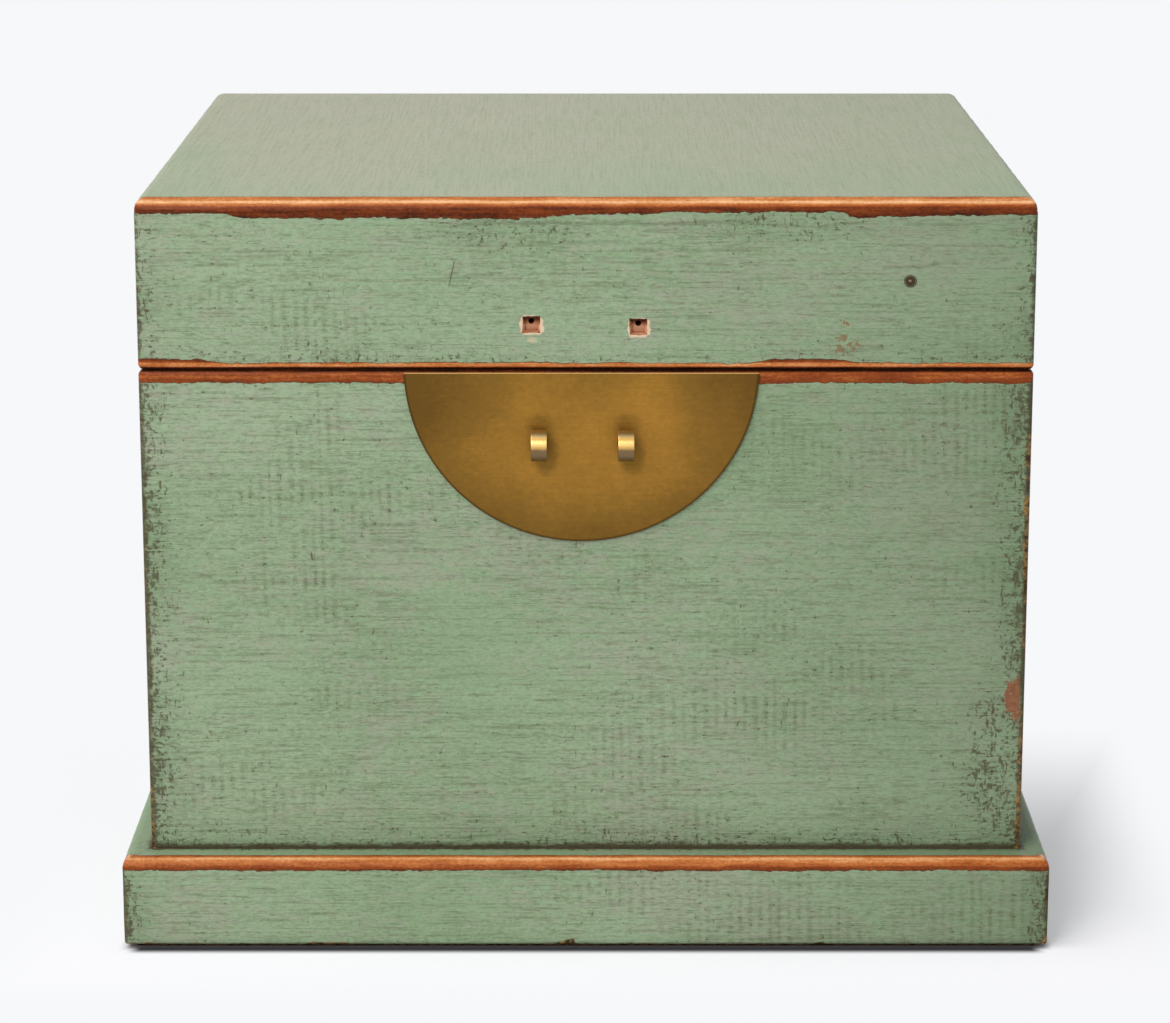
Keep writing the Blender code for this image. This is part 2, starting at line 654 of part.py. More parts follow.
def leaf_mesh(name, up, own):
    """A hinge leaf about the pin's axis: up is -1 for the leaf in the box's rim and 1 for the lid's."""
    front = -KNUCKLE_RADIUS - LEAF_WIDTH
    clear = -KNUCKLE_RADIUS - KNUCKLE_GAP
    face, back = sorted((up * GAP / 2, up * LEAF_THICKNESS))
    half = HINGE_LENGTH / 2
    comb = [(-half, front), (half, front), (half, clear)]
    for start, end in reversed(knuckle_spans(own)):
        comb += [(end, clear), (end, 0), (start, 0), (start, clear)]
    comb.append((-half, clear))
    leaf = add_cutter(name, outline_mesh(name, [comb], "xy", face, back))
    rods = [((start, 0, 0), (end, 0, 0)) for start, end in knuckle_spans(own)]
    cut(leaf, add_cutter(f"{name}_knuckles", rod_mesh("knuckles", KNUCKLE_RADIUS, *rods)), "UNION")
    for sign in (-1, 1):
        low, high = sorted((sign * (BARREL_HALF + KNUCKLE_GAP), sign * half))
        stop = outline_mesh("stop", [stop_outline(clear, up)], "yz", low, high)
        cut(leaf, add_cutter(f"{name}_stop", stop), "UNION")
    reach = BARREL_HALF + KNUCKLE_GAP / 2
    bore = rod_mesh("bore", PIN_RADIUS + PIN_PLAY, ((-reach, 0, 0), (reach, 0, 0)))
    cut(leaf, add_cutter(f"{name}_bore", bore))
    for x in SCREW_X:
        sink = add_cutter(f"{name}_sink", screw_blank(GAP, SPARE), (x, SCREW_Y - HINGE_Y, up * GAP / 2))
        sink.rotation_euler.x = 0 if up > 0 else math.pi
        cut(leaf, sink)
    return smooth_rounds(baked(leaf))


def stop_outline(clear, up):
    """The bevelled tail behind a leaf, seen from the side. Its slope faces the other leaf's."""
    near, far = GAP, LEAF_THICKNESS - GAP
    root = clear - SPARE
    slope = 1 / math.tan(STOP_ANGLE)
    tail = [(root, near), (near * slope, near), (far * slope, far), (root, far)]
    return [(across, up * level) for across, level in tail]


def screw_blank(clearance, above):
    """A countersunk screw turned about Z, its head's face at zero or higher by above, its shank up."""
    head, shank = SCREW_HEAD_RADIUS + clearance, SCREW_SHANK_RADIUS + clearance
    neck = SCREW_SINK + SCREW_HEAD_RADIUS - SCREW_SHANK_RADIUS
    tip = SCREW_LENGTH + clearance
    profile = [(0, tip), (shank, tip), (shank, neck), (head, SCREW_SINK), (head, -above), (0, -above)]
    work = bmesh.new()
    points = [work.verts.new((radius, 0, level)) for radius, level in profile]
    for start, end in zip(points, points[1:]):
        work.edges.new((start, end))
    blank = add_cutter("screw_blank", mesh_from("screw_blank", work))
    turn = blank.modifiers.new("turn", "SCREW")
    turn.steps = turn.render_steps = ROUND_STEPS // 2
    turn.use_merge_vertices = True
    turn.merge_threshold = WELD
    return baked(blank)


def add_hinges(body_back, lid_back):
    screw = screw_mesh()
    pin = smooth_rounds(rod_mesh("pin", PIN_RADIUS, ((-BARREL_HALF, 0, 0), (BARREL_HALF, 0, 0))))
    halves = (("box", None, body_back, -1, 0), ("lid", lid_axis, lid_back, 1, 1))
    for body, parent, board, up, own in halves:
        leaf = leaf_mesh(f"{body}_leaf", up, own)
        mortises = []
        pilots = []
        for side, x in (("left", -HINGE_X), ("right", HINGE_X)):
            add_piece(f"hinge_{side}_{body}_leaf", leaf, (x, HINGE_Y, SEAM_HEIGHT), BRASS, parent)
            low, high = sorted((SEAM_HEIGHT - up * SPARE, SEAM_HEIGHT + up * (LEAF_THICKNESS + GAP)))
            half = HINGE_LENGTH / 2 + GAP
            front = HALF_DEPTH - LEAF_WIDTH - GAP
            mortises.append(((x - half, front, low), (x + half, HINGE_Y + SPARE, high)))
            for name, offset in zip("abc", SCREW_X):
                head = Vector((x + offset, SCREW_Y, SEAM_HEIGHT + up * GAP / 2))
                made = add_piece(f"hinge_{side}_{body}_screw_{name}", screw, head, BRASS, parent)
                made.rotation_euler = (0 if up > 0 else math.pi, 0, 0)
                pilots.append((head, head + Vector((0, 0, up * (SCREW_LENGTH + SPARE)))))
        cut(board, add_cutter(f"{body}_hinge_mortises", box_mesh("mortises", *mortises)))
        bores = rod_mesh("pilots", SCREW_SHANK_RADIUS + GAP, *pilots, steps=ROUND_STEPS // 2)
        cut(board, add_cutter(f"{body}_screw_pilots", bores))
    for side, x in (("left", -HINGE_X), ("right", HINGE_X)):
        add_piece(f"hinge_{side}_pin", pin, (x, HINGE_Y, SEAM_HEIGHT), BRASS)


def screw_mesh():
    """A slotted countersunk screw, its head sunk a little below the leaf's face."""
    screw = add_cutter("screw", screw_blank(0, -SCREW_SINK / 2))
    reach = SCREW_HEAD_RADIUS + SPARE
    slot = ((-SLOT_WIDTH / 2, -reach, -SPARE), (SLOT_WIDTH / 2, reach, SLOT_DEPTH))
    cut(screw, add_cutter("screw_slot", box_mesh("slot", slot)))
    return smooth_rounds(baked(screw))


add_plinth()
box_boards = add_box()
lid_boards = add_lid()
add_lock(box_boards["front"])
add_hinges(box_boards["back"], lid_boards["back"])
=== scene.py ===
import json
import math

import bmesh
import bpy
from mathutils import Matrix, Vector, noise

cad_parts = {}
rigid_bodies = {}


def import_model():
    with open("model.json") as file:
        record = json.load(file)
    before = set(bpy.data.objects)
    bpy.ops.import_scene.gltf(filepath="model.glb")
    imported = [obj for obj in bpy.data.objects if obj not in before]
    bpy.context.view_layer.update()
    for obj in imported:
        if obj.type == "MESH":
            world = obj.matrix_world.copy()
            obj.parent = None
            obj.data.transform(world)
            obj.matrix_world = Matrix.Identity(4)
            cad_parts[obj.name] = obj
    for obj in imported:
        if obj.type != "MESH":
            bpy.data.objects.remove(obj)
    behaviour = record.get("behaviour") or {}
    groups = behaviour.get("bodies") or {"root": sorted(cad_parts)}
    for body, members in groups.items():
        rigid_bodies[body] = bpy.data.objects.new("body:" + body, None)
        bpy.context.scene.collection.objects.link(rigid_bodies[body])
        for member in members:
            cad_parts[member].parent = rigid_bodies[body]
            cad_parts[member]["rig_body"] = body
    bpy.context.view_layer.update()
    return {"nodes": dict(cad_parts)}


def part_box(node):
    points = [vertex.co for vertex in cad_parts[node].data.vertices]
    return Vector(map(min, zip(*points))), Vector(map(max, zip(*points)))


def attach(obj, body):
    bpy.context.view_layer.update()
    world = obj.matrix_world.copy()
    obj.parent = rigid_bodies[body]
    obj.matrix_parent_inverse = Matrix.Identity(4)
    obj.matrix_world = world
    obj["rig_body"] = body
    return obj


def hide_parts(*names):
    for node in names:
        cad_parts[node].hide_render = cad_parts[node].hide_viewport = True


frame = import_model()

# Plinth rails
# Four hardwood rails, mitred at the corners and rebated for the box to stand in. Cloth is glued over them and
# lacquered green, and the nosing along the front is rubbed down to the wood.

WELD = 0.00002
SMOOTH_UNDER = math.radians(35)
SLICE = 0.005
DENT_DEPTH = 0.0006
DENT_SIZE = 0.014
WARP_PITCH = 0.0069
PAINT_STEP = 0.0010
PAINT_RELIEF = 0.0005
WOOD_RELIEF = 0.0003
FRONT_STEP = 0.008

SAGE_PALE = (0.316, 0.412, 0.260, 1)
SAGE_DEEP = (0.232, 0.332, 0.188, 1)
SAGE_RUBBED = (0.345, 0.325, 0.258, 1)
SAGE_SOILED_AND_SHADED = (0.138, 0.203, 0.110, 1)
CLOTH_SHADE = (0.100, 0.110, 0.052, 1)
GRIME_AND_SHADE = (0.066, 0.052, 0.026, 1)
WOOD_SOOT = (0.022, 0.007, 0.003, 1)
WOOD_DARK = (0.110, 0.021, 0.004, 1)
WOOD_RED = (0.255, 0.056, 0.011, 1)
WOOD_BROWN = (0.500, 0.162, 0.040, 1)
WOOD_GOLD = (0.810, 0.475, 0.240, 1)
WOOD_PALE = (0.400, 0.175, 0.072, 1)
WOOD_DEEP = (0.150, 0.052, 0.018, 1)
ARRIS_DARK = (0.050, 0.030, 0.011, 1)
ARRIS_TAN = (0.290, 0.175, 0.062, 1)

BOX_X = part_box("body_right_board")[1].x
BOX_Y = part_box("body_back_board")[1].y
PLINTH_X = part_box("plinth_right_rail")[1].x
PLINTH_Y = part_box("plinth_back_rail")[1].y
PLINTH_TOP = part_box("plinth_front_rail")[1].z
PLINTH_NOSE = 0.007
PLINTH_RAIL = 0.046
FOOT_HEIGHT = 0.003


class Coat:
    """One value, vector or colour of a finish, held as a node's socket. Arithmetic on it adds Math nodes."""

    def __init__(self, tree, socket):
        self.tree = tree
        self.socket = socket

    def node(self, kind, settings, sockets, output=0):
        """Any other node of the same finish: its settings first, then the values or links of its sockets."""
        made = self.tree.nodes.new(kind)
        for name, value in settings.items():
            if name == "stops":
                first, *middle, last = value
                elements = made.color_ramp.elements
                for stop, (position, colour) in zip(elements, (first, last)):
                    stop.position, stop.color = position, colour
                for position, colour in middle:
                    elements.new(position).color = colour
            else:
                setattr(made, name, value)
        for name, value in sockets.items():
            if isinstance(value, Coat):
                self.tree.links.new(value.socket, made.inputs[name])
            else:
                made.inputs[name].default_value = value
        return Coat(self.tree, made.outputs[output] if made.outputs else None)

    def math(self, operation, first, second=0.0):
        return self.node("ShaderNodeMath", {"operation": operation}, {0: first, 1: second})

    def __add__(self, other):
        return self.math("ADD", self, other)

    __radd__ = __add__

    def __sub__(self, other):
        return self.math("SUBTRACT", self, other)

    def __rsub__(self, other):
        return self.math("SUBTRACT", other, self)

    def __mul__(self, other):
        return self.math("MULTIPLY", self, other)

    __rmul__ = __mul__

    def __abs__(self):
        return self.math("ABSOLUTE", self)


def new_finish(name):
    """An empty material, and the Object coordinates that its pattern starts from."""
    material = bpy.data.materials.new(name)
    material.use_nodes = True
    material.node_tree.nodes.clear()
    start = material.node_tree.nodes.new("ShaderNodeTexCoord")
    return material, Coat(material.node_tree, start.outputs["Object"])


def axes(place):
    return [place.node("ShaderNodeSeparateXYZ", {}, {"Vector": place}, output=axis) for axis in range(3)]


def fade(value, low, high):
    """0 up to low and 1 from high on, smooth between; the other way round where low is the larger."""
    sockets = {"Value": value, "From Min": low, "From Max": high}
    return value.node("ShaderNodeMapRange", {"interpolation_type": "SMOOTHSTEP"}, sockets)


def larger(first, second):
    return first.math("MAXIMUM", first, second)


def smaller(first, second):
    return first.math("MINIMUM", first, second)


def blend(share, under, over):
    """A colour between two others, by share."""
    return share.node("ShaderNodeMix", {"data_type": "RGBA"}, {0: share, 6: under, 7: over}, output=2)


def tones(value, *stops):
    """A colour that follows a value through stops, each a position and its colour."""
    return value.node("ShaderNodeValToRGB", {"stops": stops}, {"Fac": value})


def profile(value, *points):
    """A level that follows a value through points, each a position and its level, all from 0 to 1."""
    return tones(value, *[(position, (level, level, level, 1)) for position, level in points])


def stretched(place, per_metre):
    return place.node("ShaderNodeVectorMath", {"operation": "MULTIPLY"}, {0: place, 1: per_metre})


def mottle(place, per_metre, detail=2.0, roughness=0.5):
    """Noise about 0.5. per_metre is the number of its grains along X, Y and Z, so they can be streaks."""
    sockets = {"Vector": stretched(place, per_metre), "Scale": 1.0, "Detail": detail, "Roughness": roughness}
    return place.node("ShaderNodeTexNoise", {}, sockets)


def threads(place, direction, per_metre, sway):
    """Parallel threads that sway a little: 1 in the gaps between them, 0 on their backs."""
    settings = {"wave_type": "BANDS", "bands_direction": direction, "wave_profile": "SIN"}
    sockets = {"Vector": stretched(place, per_metre), "Scale": 1.0, "Distortion": sway}
    sockets |= {"Detail": 2.0, "Detail Scale": 0.3, "Detail Roughness": 0.55}
    return place.node("ShaderNodeTexWave", settings, sockets, output="Fac")


def finish_surface(colour, roughness, relief, depth, metallic=0.0, specular=0.1):
    """Ends a finish with its shader: colour, roughness, and relief of the given depth in metres."""
    bump = colour.node("ShaderNodeBump", {}, {"Distance": depth, "Height": relief})
    sockets = {
        "Base Color": colour,
        "Roughness": roughness,
        "Metallic": metallic,
        "Specular IOR Level": specular,
        "Normal": bump,
    }
    shader = colour.node("ShaderNodeBsdfPrincipled", {}, sockets)
    colour.node("ShaderNodeOutputMaterial", {}, {"Surface": shader})


def lacquer(place, dirty):
    """Green lacquer on cloth, as its colour and its relief. Dirt lies in the lines that the brush left, and
    the cloth's uprights show through in patches. dirty is 1 where more of it sticks, as in corners."""
    upright = math.tau / (10 * WARP_PITCH)
    facing = place.node("ShaderNodeTexCoord", {}, {}, output="Normal")
    on_side = fade(abs(axes(facing)[2]), 0.9, 0.5)
    patches = mottle(place, (8, 8, 12), 3.0, 0.6) - 0.5
    warp = threads(place, "DIAGONAL", (upright, upright, 2), 6.0)
    crossed = fade(patches, -0.02, 0.18) * fade(warp, 0.8, 0.2)
    long = fade(mottle(place, (16, 16, 560), 2.0, 0.55) - 0.15 * patches, 0.49, 0.33)
    short = fade(mottle(place, (95, 95, 680), 2.0, 0.6) - 0.30 * patches, 0.43, 0.31)
    thin = fade(abs(mottle(place, (3, 3, 170), 1.0) - 0.5), 0.022, 0.0)
    thin = thin * fade(mottle(place, (60, 60, 140)), 0.38, 0.58)
    broken = fade(mottle(place, (70, 70, 240), 2.0, 0.6), 0.34, 0.60)
    lines = larger(larger(long * broken, 0.9 * short), thin)
    lines = on_side * lines * (1 - 0.6 * crossed)
    grains = fade(mottle(place, (210, 210, 600), 3.0, 0.7) - 0.2 * patches, 0.56, 0.34)
    fine = mottle(place, (480, 480, 700), 3.0, 0.75)
    strokes = mottle(place, (9, 9, 260), 3.0, 0.65)
    broad = mottle(place, (3, 3, 5)) + 1.1 * (fine - 0.5) + 0.4 * (strokes - 0.5)
    colour = blend(fade(broad, 0.2, 0.8), SAGE_DEEP, SAGE_PALE)
    grey = mottle(place, (70, 70, 190), 3.0, 0.7) + 0.8 * (mottle(place, (9, 9, 14)) - 0.5)
    colour = blend(0.46 * fade(grey, 0.44, 0.72), colour, SAGE_RUBBED)
    # Darker towards the right, partly soil and partly a painted falloff of the lamp light; darker on level
    # faces such as the plinth's ledge, partly dust and partly painted shade under the box; and patches of
    # dirt where dirty is high.
    soil_and_falloff_shade = 0.47 * fade(axes(place)[0], -0.01, 0.35) + 0.30 * dirty * fade(patches, -0.2, 0.2)
    colour = blend(soil_and_falloff_shade + 0.40 * (1 - on_side), colour, SAGE_SOILED_AND_SHADED)
    colour = blend(0.36 * lines + 0.25 * grains, colour, CLOTH_SHADE)
    uprights = on_side * fade(patches, 0.02, 0.15) * fade(warp, 0.50, 0.92) * broken
    colour = blend(0.24 * uprights, colour, CLOTH_SHADE)
    flat_crumbs = mottle(place, (260, 260, 400), 2.0, 0.65)
    tall_crumbs = mottle(place, (330, 330, 130), 2.0, 0.65) - 0.03
    crumbs = larger(flat_crumbs, tall_crumbs) + 0.16 * dirty * dirty + 0.05 * lines + 0.16 * patches
    crumbs = fade(crumbs, 0.65, 0.80)
    colour = blend(0.78 * crumbs, colour, GRIME_AND_SHADE)
    relief = 0.62 - 0.22 * lines - 0.18 * grains - 0.08 * crossed - 0.25 * crumbs + 0.30 * fine
    return colour, relief


def worn_wood(place, polish_and_painted_light):
    """Bare wood, streaked lengthwise: red in the rough, dark where it is dirty and where shade is painted on
    it, golden where it is polished and where a highlight is painted on it.
    """
    streaks = mottle(place, (14, 14, 520), 3.0, 0.6)
    blotches = mottle(place, (36, 36, 210), 3.0, 0.65)
    specks = mottle(place, (420, 420, 760), 3.0, 0.7)
    level = 0.45 * (streaks - 0.5) + 0.45 * (blotches - 0.5) + 0.50 * (specks - 0.5) + polish_and_painted_light
    return tones(
        level, (0.0, WOOD_SOOT), (0.16, WOOD_DARK), (0.42, WOOD_RED), (0.66, WOOD_BROWN), (1.0, WOOD_GOLD)
    )


def uneven(place):
    """How far a paint edge runs out of line, about 0: broad bites with small ones in them."""
    bites = mottle(place, (45, 45, 130), 3.0, 0.65)
    nibbles = mottle(place, (210, 210, 420), 2.0, 0.6)
    return 0.6 * (bites - 0.5) + 0.4 * (nibbles - 0.5)


def wearing(reach, distance):
    """1 where a surface is nearer to an edge than wear reaches, with a narrow step between."""
    return fade(reach - distance, -PAINT_STEP, PAINT_STEP)


def at_front(y, half, behind):
    """1 on the front face of a frame of boards, at Y = -half, and 0 from the distance behind it onwards."""
    return fade(y, behind - half, behind - FRONT_STEP - half)


def paint(place, worn, polish_and_painted_light, dirty, marks, chips):
    """Lacquer over wood: worn is 1 where the wood is bare, and how bright the bare wood is follows how
    polished it is, with a painted highlight and painted shade. marks are dark lines, both dirt and painted
    shade at joints and arrises, and chips are places where the paint is off, each with the ground's colour
    there."""
    colour, relief = lacquer(place, dirty)
    colour = blend(0.92 * marks, colour, GRIME_AND_SHADE)
    # A pale line on the paint along its worn edge: a painted highlight where the edge catches the light.
    colour = blend(0.4 * fade(worn, 0.0, 0.42), colour, SAGE_PALE)
    for off, ground in chips:
        colour = blend(off, colour, ground)
    bare = fade(worn, 0.46, 0.54)
    colour = blend(bare, colour, worn_wood(place, polish_and_painted_light))
    # A dark line on the wood along the paint's edge: dirt, and a painted shadow of the raised paint edge.
    colour = blend(0.8 * bare * fade(worn, 1.0, 0.6), colour, GRIME_AND_SHADE)
    grain = mottle(place, (40, 40, 900))
    height = relief + bare * (0.25 * grain - 0.35 - relief)
    finish_surface(colour, 0.47 - 0.12 * bare + 0.10 * (grain - 0.5), height, PAINT_RELIEF)


def scuffed(place):
    """The tan and dark brown of an arris that is rubbed through."""
    share = fade(mottle(place, (170, 170, 240), 3.0, 0.7), 0.38, 0.62)
    return blend(share, ARRIS_DARK, ARRIS_TAN)


def plain_wood(name, per_metre, pale, deep):
    """Unpainted planed wood, its grain stretched by per_metre."""
    material, place = new_finish(name)
    rings = mottle(place, per_metre, 4.0, 0.6)
    pores = mottle(place, [6 * scale for scale in per_metre], 2.0)
    stain = mottle(place, (6, 6, 6), 2.0)
    level = rings + 0.35 * (pores - 0.5) + 0.3 * (stain - 0.5)
    colour = tones(level, (0.22, deep), (0.78, pale))
    finish_surface(colour, 0.58 + 0.2 * (pores - 0.5), rings + 0.5 * pores, WOOD_RELIEF)
    return material


def merged_copy(node):
    """A CAD piece's mesh with its loose triangles joined up."""
    work = bmesh.new()
    work.from_mesh(frame["nodes"][node].data)
    bmesh.ops.remove_doubles(work, verts=work.verts, dist=WELD)
    return work


def cut_across(work, axis, position, faces=None):
    """Cuts a piece, or only some of its faces, along a plane across an axis."""
    direction = Vector([float(index == axis) for index in range(3)])
    if faces is None:
        geometry = [*work.verts, *work.edges, *work.faces]
    else:
        edges = dict.fromkeys(edge for face in faces for edge in face.edges)
        verts = dict.fromkeys(vert for face in faces for vert in face.verts)
        geometry = [*verts, *edges, *faces]
    middle = direction * position
    bmesh.ops.bisect_plane(work, geom=geometry, dist=WELD, plane_co=middle, plane_no=direction)


def slice_up(work, axis, low, high, step=SLICE):
    """Cuts a piece crosswise into short lengths, so that its edges can be dented."""
    for count in range(1, int((high - low) / step)):
        cut_across(work, axis, low + count * step)


def dent_edges(work, low, high, radius):
    """Rubs the rounded edges of a block unevenly, by a few tenths of a millimetre."""
    inset = Vector((radius, radius, radius))
    core_low, core_high = low + inset, high - inset
    for vert in work.verts:
        core = Vector([min(max(vert.co[a], core_low[a]), core_high[a]) for a in range(3)])
        out = vert.co - core
        reach = sorted(abs(part) for part in out)
        if reach[1] > WELD:
            roundness = 2 * reach[1] * reach[2] / (reach[1] ** 2 + reach[2] ** 2)
            share = 0.5 + 0.5 * noise.noise(vert.co / DENT_SIZE)
            vert.co -= out.normalized() * roundness * share * DENT_DEPTH


def wear_down(work, node, axis, low, high, radius):
    """Slices a board along its length and its height, and dents the edges of the block it is part of."""
    start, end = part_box(node)
    slice_up(work, axis, start[axis], end[axis])
    slice_up(work, 2, start.z, end.z, 2 * SLICE)
    dent_edges(work, low, high, radius)


def make_object(work, name, finishes):
    """Puts a worked mesh into the scene as an object with its finishes."""
    mesh = bpy.data.meshes.new(name)
    work.to_mesh(mesh)
    work.free()
    for finish in finishes:
        mesh.materials.append(finish)
    made = bpy.data.objects.new(name, mesh)
    bpy.context.scene.collection.objects.link(made)
    return made


def dress(work, node, finishes, pick=None):
    """Makes a finished piece in place of a CAD node and on its body. pick gives the finish of a face."""
    for face in work.faces:
        face.smooth = True
        face.material_index = pick(face) if pick else 0
    piece = make_object(work, f"worn_{node}", finishes)
    if "custom_normal" in piece.data.attributes:
        piece.data.attributes.remove(piece.data.attributes["custom_normal"])
    piece.data.set_sharp_from_angle(angle=SMOOTH_UNDER)
    flat = piece.modifiers.new("flat_faces", "WEIGHTED_NORMAL")
    flat.keep_sharp = True
    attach(piece, frame["nodes"][node]["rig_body"])
    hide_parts(node)


wood_along_x = plain_wood("wood_along_x", (7, 130, 130), WOOD_PALE, WOOD_DEEP)
wood_along_y = plain_wood("wood_along_y", (130, 7, 130), WOOD_PALE, WOOD_DEEP)
SIDES = {
    "front": (0, wood_along_x),
    "back": (0, wood_along_x),
    "left": (1, wood_along_y),
    "right": (1, wood_along_y),
}

plinth_lacquer, place = new_finish("plinth_lacquer")
x, y, z = axes(place)
from_side = PLINTH_X - abs(x)
from_end = PLINTH_Y - abs(y)
inward = smaller(from_side, from_end)
corner = from_side + from_end
from_box = larger(abs(x) - BOX_X, abs(y) - BOX_Y)
down = PLINTH_TOP - z
front = at_front(y, PLINTH_Y, behind=0.016)
ragged = uneven(place)
nosing = wearing(0.0015 + 0.0075 * front + 0.007 * ragged, inward)
nosing = nosing * wearing(0.0025 + 0.0057 * front + 0.006 * ragged, down)
chipped = mottle(place, (38, 38, 38), 2.0, 0.6)
foot = wearing(0.0002 + 0.0040 * fade(chipped, 0.54, 0.70) + 0.008 * ragged, z - FOOT_HEIGHT)
arris = wearing(0.0012 + 0.0022 * fade(chipped, 0.46, 0.62) + 0.007 * ragged, corner)
# How bright the bare nosing is down its curve: a painted highlight about a millimetre below the top, then
# darker further down, partly the wood and partly painted shade.
polish_and_painted_light = profile(
    down * 100, (0.0, 0.44), (0.08, 0.84), (0.20, 0.66), (0.42, 0.52), (0.66, 0.36), (0.85, 0.18), (1.0, 0.28)
)
dirty = larger(fade(corner, 0.030, 0.003), larger(0.6 * fade(z, 0.012, 0.003), fade(from_box, 0.010, 0.002)))
# A dark line on the ledge beside the box: painted shade where the box meets the plinth, with some dirt. The
# dark line along the rounded corner arrises is partly dirt and partly painted shade.
shade_beside_box = fade(from_box + 0.004 * ragged, 0.0034, 0.0010)
marks = larger(shade_beside_box, 0.85 * fade(corner + 0.010 * ragged, 0.0046, 0.0022))
paint(place, nosing, polish_and_painted_light, dirty, marks, [(larger(foot, arris), scuffed(place))])


def rail_face(face):
    middle = face.calc_center_median()
    beside = min(PLINTH_X - abs(middle.x), PLINTH_Y - abs(middle.y))
    return 0 if beside < PLINTH_RAIL / 2 and face.normal.z > -0.99 else 1


low = Vector((-PLINTH_X, -PLINTH_Y, -PLINTH_NOSE))
high = Vector((PLINTH_X, PLINTH_Y, PLINTH_TOP))
for side, (axis, wood) in SIDES.items():
    node = f"plinth_{side}_rail"
    work = merged_copy(node)
    wear_down(work, node, axis, low, high, PLINTH_NOSE)
    dress(work, node, [plinth_lacquer, wood], rail_face)

# Plinth corner blocks
# Four triangular softwood blocks, sawn and glued into the plinth's corners behind the mitres. Nothing but the
# underside of the chest shows them, so they were never painted.

EASE = 0.0006
FLAT_UNDER = math.radians(1)
BLOCK_PALE = (0.520, 0.300, 0.140, 1)
BLOCK_DEEP = (0.270, 0.125, 0.048, 1)


def eased_copy(node, width=EASE):
    """A copy of a CAD piece with the flat faces made whole and the sharp edges taken off."""
    work = merged_copy(node)
    bmesh.ops.dissolve_limit(work, angle_limit=FLAT_UNDER, verts=work.verts, edges=work.edges)
    sharp = [edge for edge in work.edges if edge.is_manifold and edge.calc_face_angle() > SMOOTH_UNDER]
    bmesh.ops.bevel(work, geom=sharp, offset=width, affect="EDGES", segments=2, profile=0.5, material=-1)
    return work


block_wood = plain_wood("block_wood", (120, 120, 9), BLOCK_PALE, BLOCK_DEEP)
for end in ("front", "back"):
    for side in ("left", "right"):
        node = f"plinth_block_{end}_{side}"
        dress(eased_copy(node), node, [block_wood])

# Box boards
# Four wide boards joined with secret mitre dovetails, so that only their worn arrises show at the corners.
# Cloth and green lacquer cover the outside, and lifting the lid has rubbed the front rim down to red wood.

BOX_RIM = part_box("body_front_board")[1].z
BOX_ROUND = 0.003
CHIP = (0.2945, 0.1728)
CHIP_REACH = (0.0125, 0.0250)
SMUDGE = (0.280, 0.125)
SMUDGE_REACH = (0.036, 0.090)
CLAY_DEEP = (0.090, 0.034, 0.014, 1)
CLAY_RED = (0.380, 0.165, 0.085, 1)


def spot(across, up, middle, reach):
    """An oval spot, 1 in its middle and 0 at its rim."""
    from_side = (across - middle[0]) * (1 / reach[0])
    from_below = (up - middle[1]) * (1 / reach[1])
    return fade(from_side * from_side + from_below * from_below, 1.0, 0.0)


def clay(place):
    """The red-brown ground that shows where the paint has chipped off."""
    return blend(mottle(place, (300, 300, 300), 3.0, 0.7), CLAY_DEEP, CLAY_RED)


box_lacquer, place = new_finish("box_lacquer")
x, y, z = axes(place)
corner = (BOX_X - abs(x)) + (BOX_Y - abs(y))
down = BOX_RIM - z
front = at_front(y, BOX_Y, behind=0.012)
ragged = uneven(place)
rim = wearing(0.0040 + 0.0048 * front + 0.006 * ragged, down)
height = z * (1 / BOX_RIM)
right = profile(height, (0.1, 0.9), (0.36, 0.75), (0.44, 0.30), (0.66, 0.85), (0.86, 0.75), (0.92, 0.1))
left = profile(height, (0.1, 0.9), (0.24, 0.7), (0.34, 0.25), (0.60, 0.45), (0.80, 0.2))
reach = 0.0040 * (left + fade(x, -0.1, 0.1) * (right - left))
arris = wearing(reach + 0.012 * ragged, corner)
chipped = front * spot(x, z, CHIP, CHIP_REACH)
torn = mottle(place, (380, 380, 260), 4.0, 0.75) - 0.5
chip = fade(chipped + 1.9 * torn, 0.66, 0.72) * fade(chipped, 0.2, 0.3)
chip = chip * fade(BOX_X - x - 0.004 * torn, 0.0025, 0.0040)
dirty = larger(fade(corner, 0.040, 0.003), 0.8 * fade(z - PLINTH_TOP, 0.030, 0.001))
dirty = larger(dirty, front * spot(x, z, SMUDGE, SMUDGE_REACH))
# How bright the bare rim is down from its top: dark over the top two millimetres as painted shade in the seam
# under the lid, then the wood's own red brown.
polish_and_painted_light = profile(down * 100, (0.0, 0.0), (0.08, 0.02), (0.17, 0.38), (0.45, 0.44), (0.80, 0.32), (1.0, 0.33))
# A dark line on the box just above the plinth's ledge: painted shade in the joint, with some dirt. The dark
# line along the rounded corner arrises is partly dirt and partly painted shade.
shade_on_plinth = fade(z - PLINTH_TOP + 0.008 * ragged, 0.0052, 0.0016)
marks = larger(shade_on_plinth, 0.85 * fade(corner + 0.010 * ragged, 0.0046, 0.0022))
paint(place, rim, polish_and_painted_light, dirty, marks, [(arris, scuffed(place)), (chip, clay(place))])


def outer_face(half_x, half_y, margin):
    """Picks the paint for the outside of a frame of boards, and the wood for the rest."""

    def pick(face):
        middle = face.calc_center_median()
        beside = min(half_x - abs(middle.x), half_y - abs(middle.y))
        return 0 if beside < margin and abs(face.normal.z) < 0.99 else 1

    return pick


box_face = outer_face(BOX_X, BOX_Y, BOX_ROUND)
low, high = Vector((-BOX_X, -BOX_Y, 0)), Vector((BOX_X, BOX_Y, BOX_RIM))
for side, (axis, wood) in SIDES.items():
    node = f"body_{side}_board"
    work = merged_copy(node)
    wear_down(work, node, axis, low, high, BOX_ROUND)
    dress(work, node, [box_lacquer, wood], box_face)

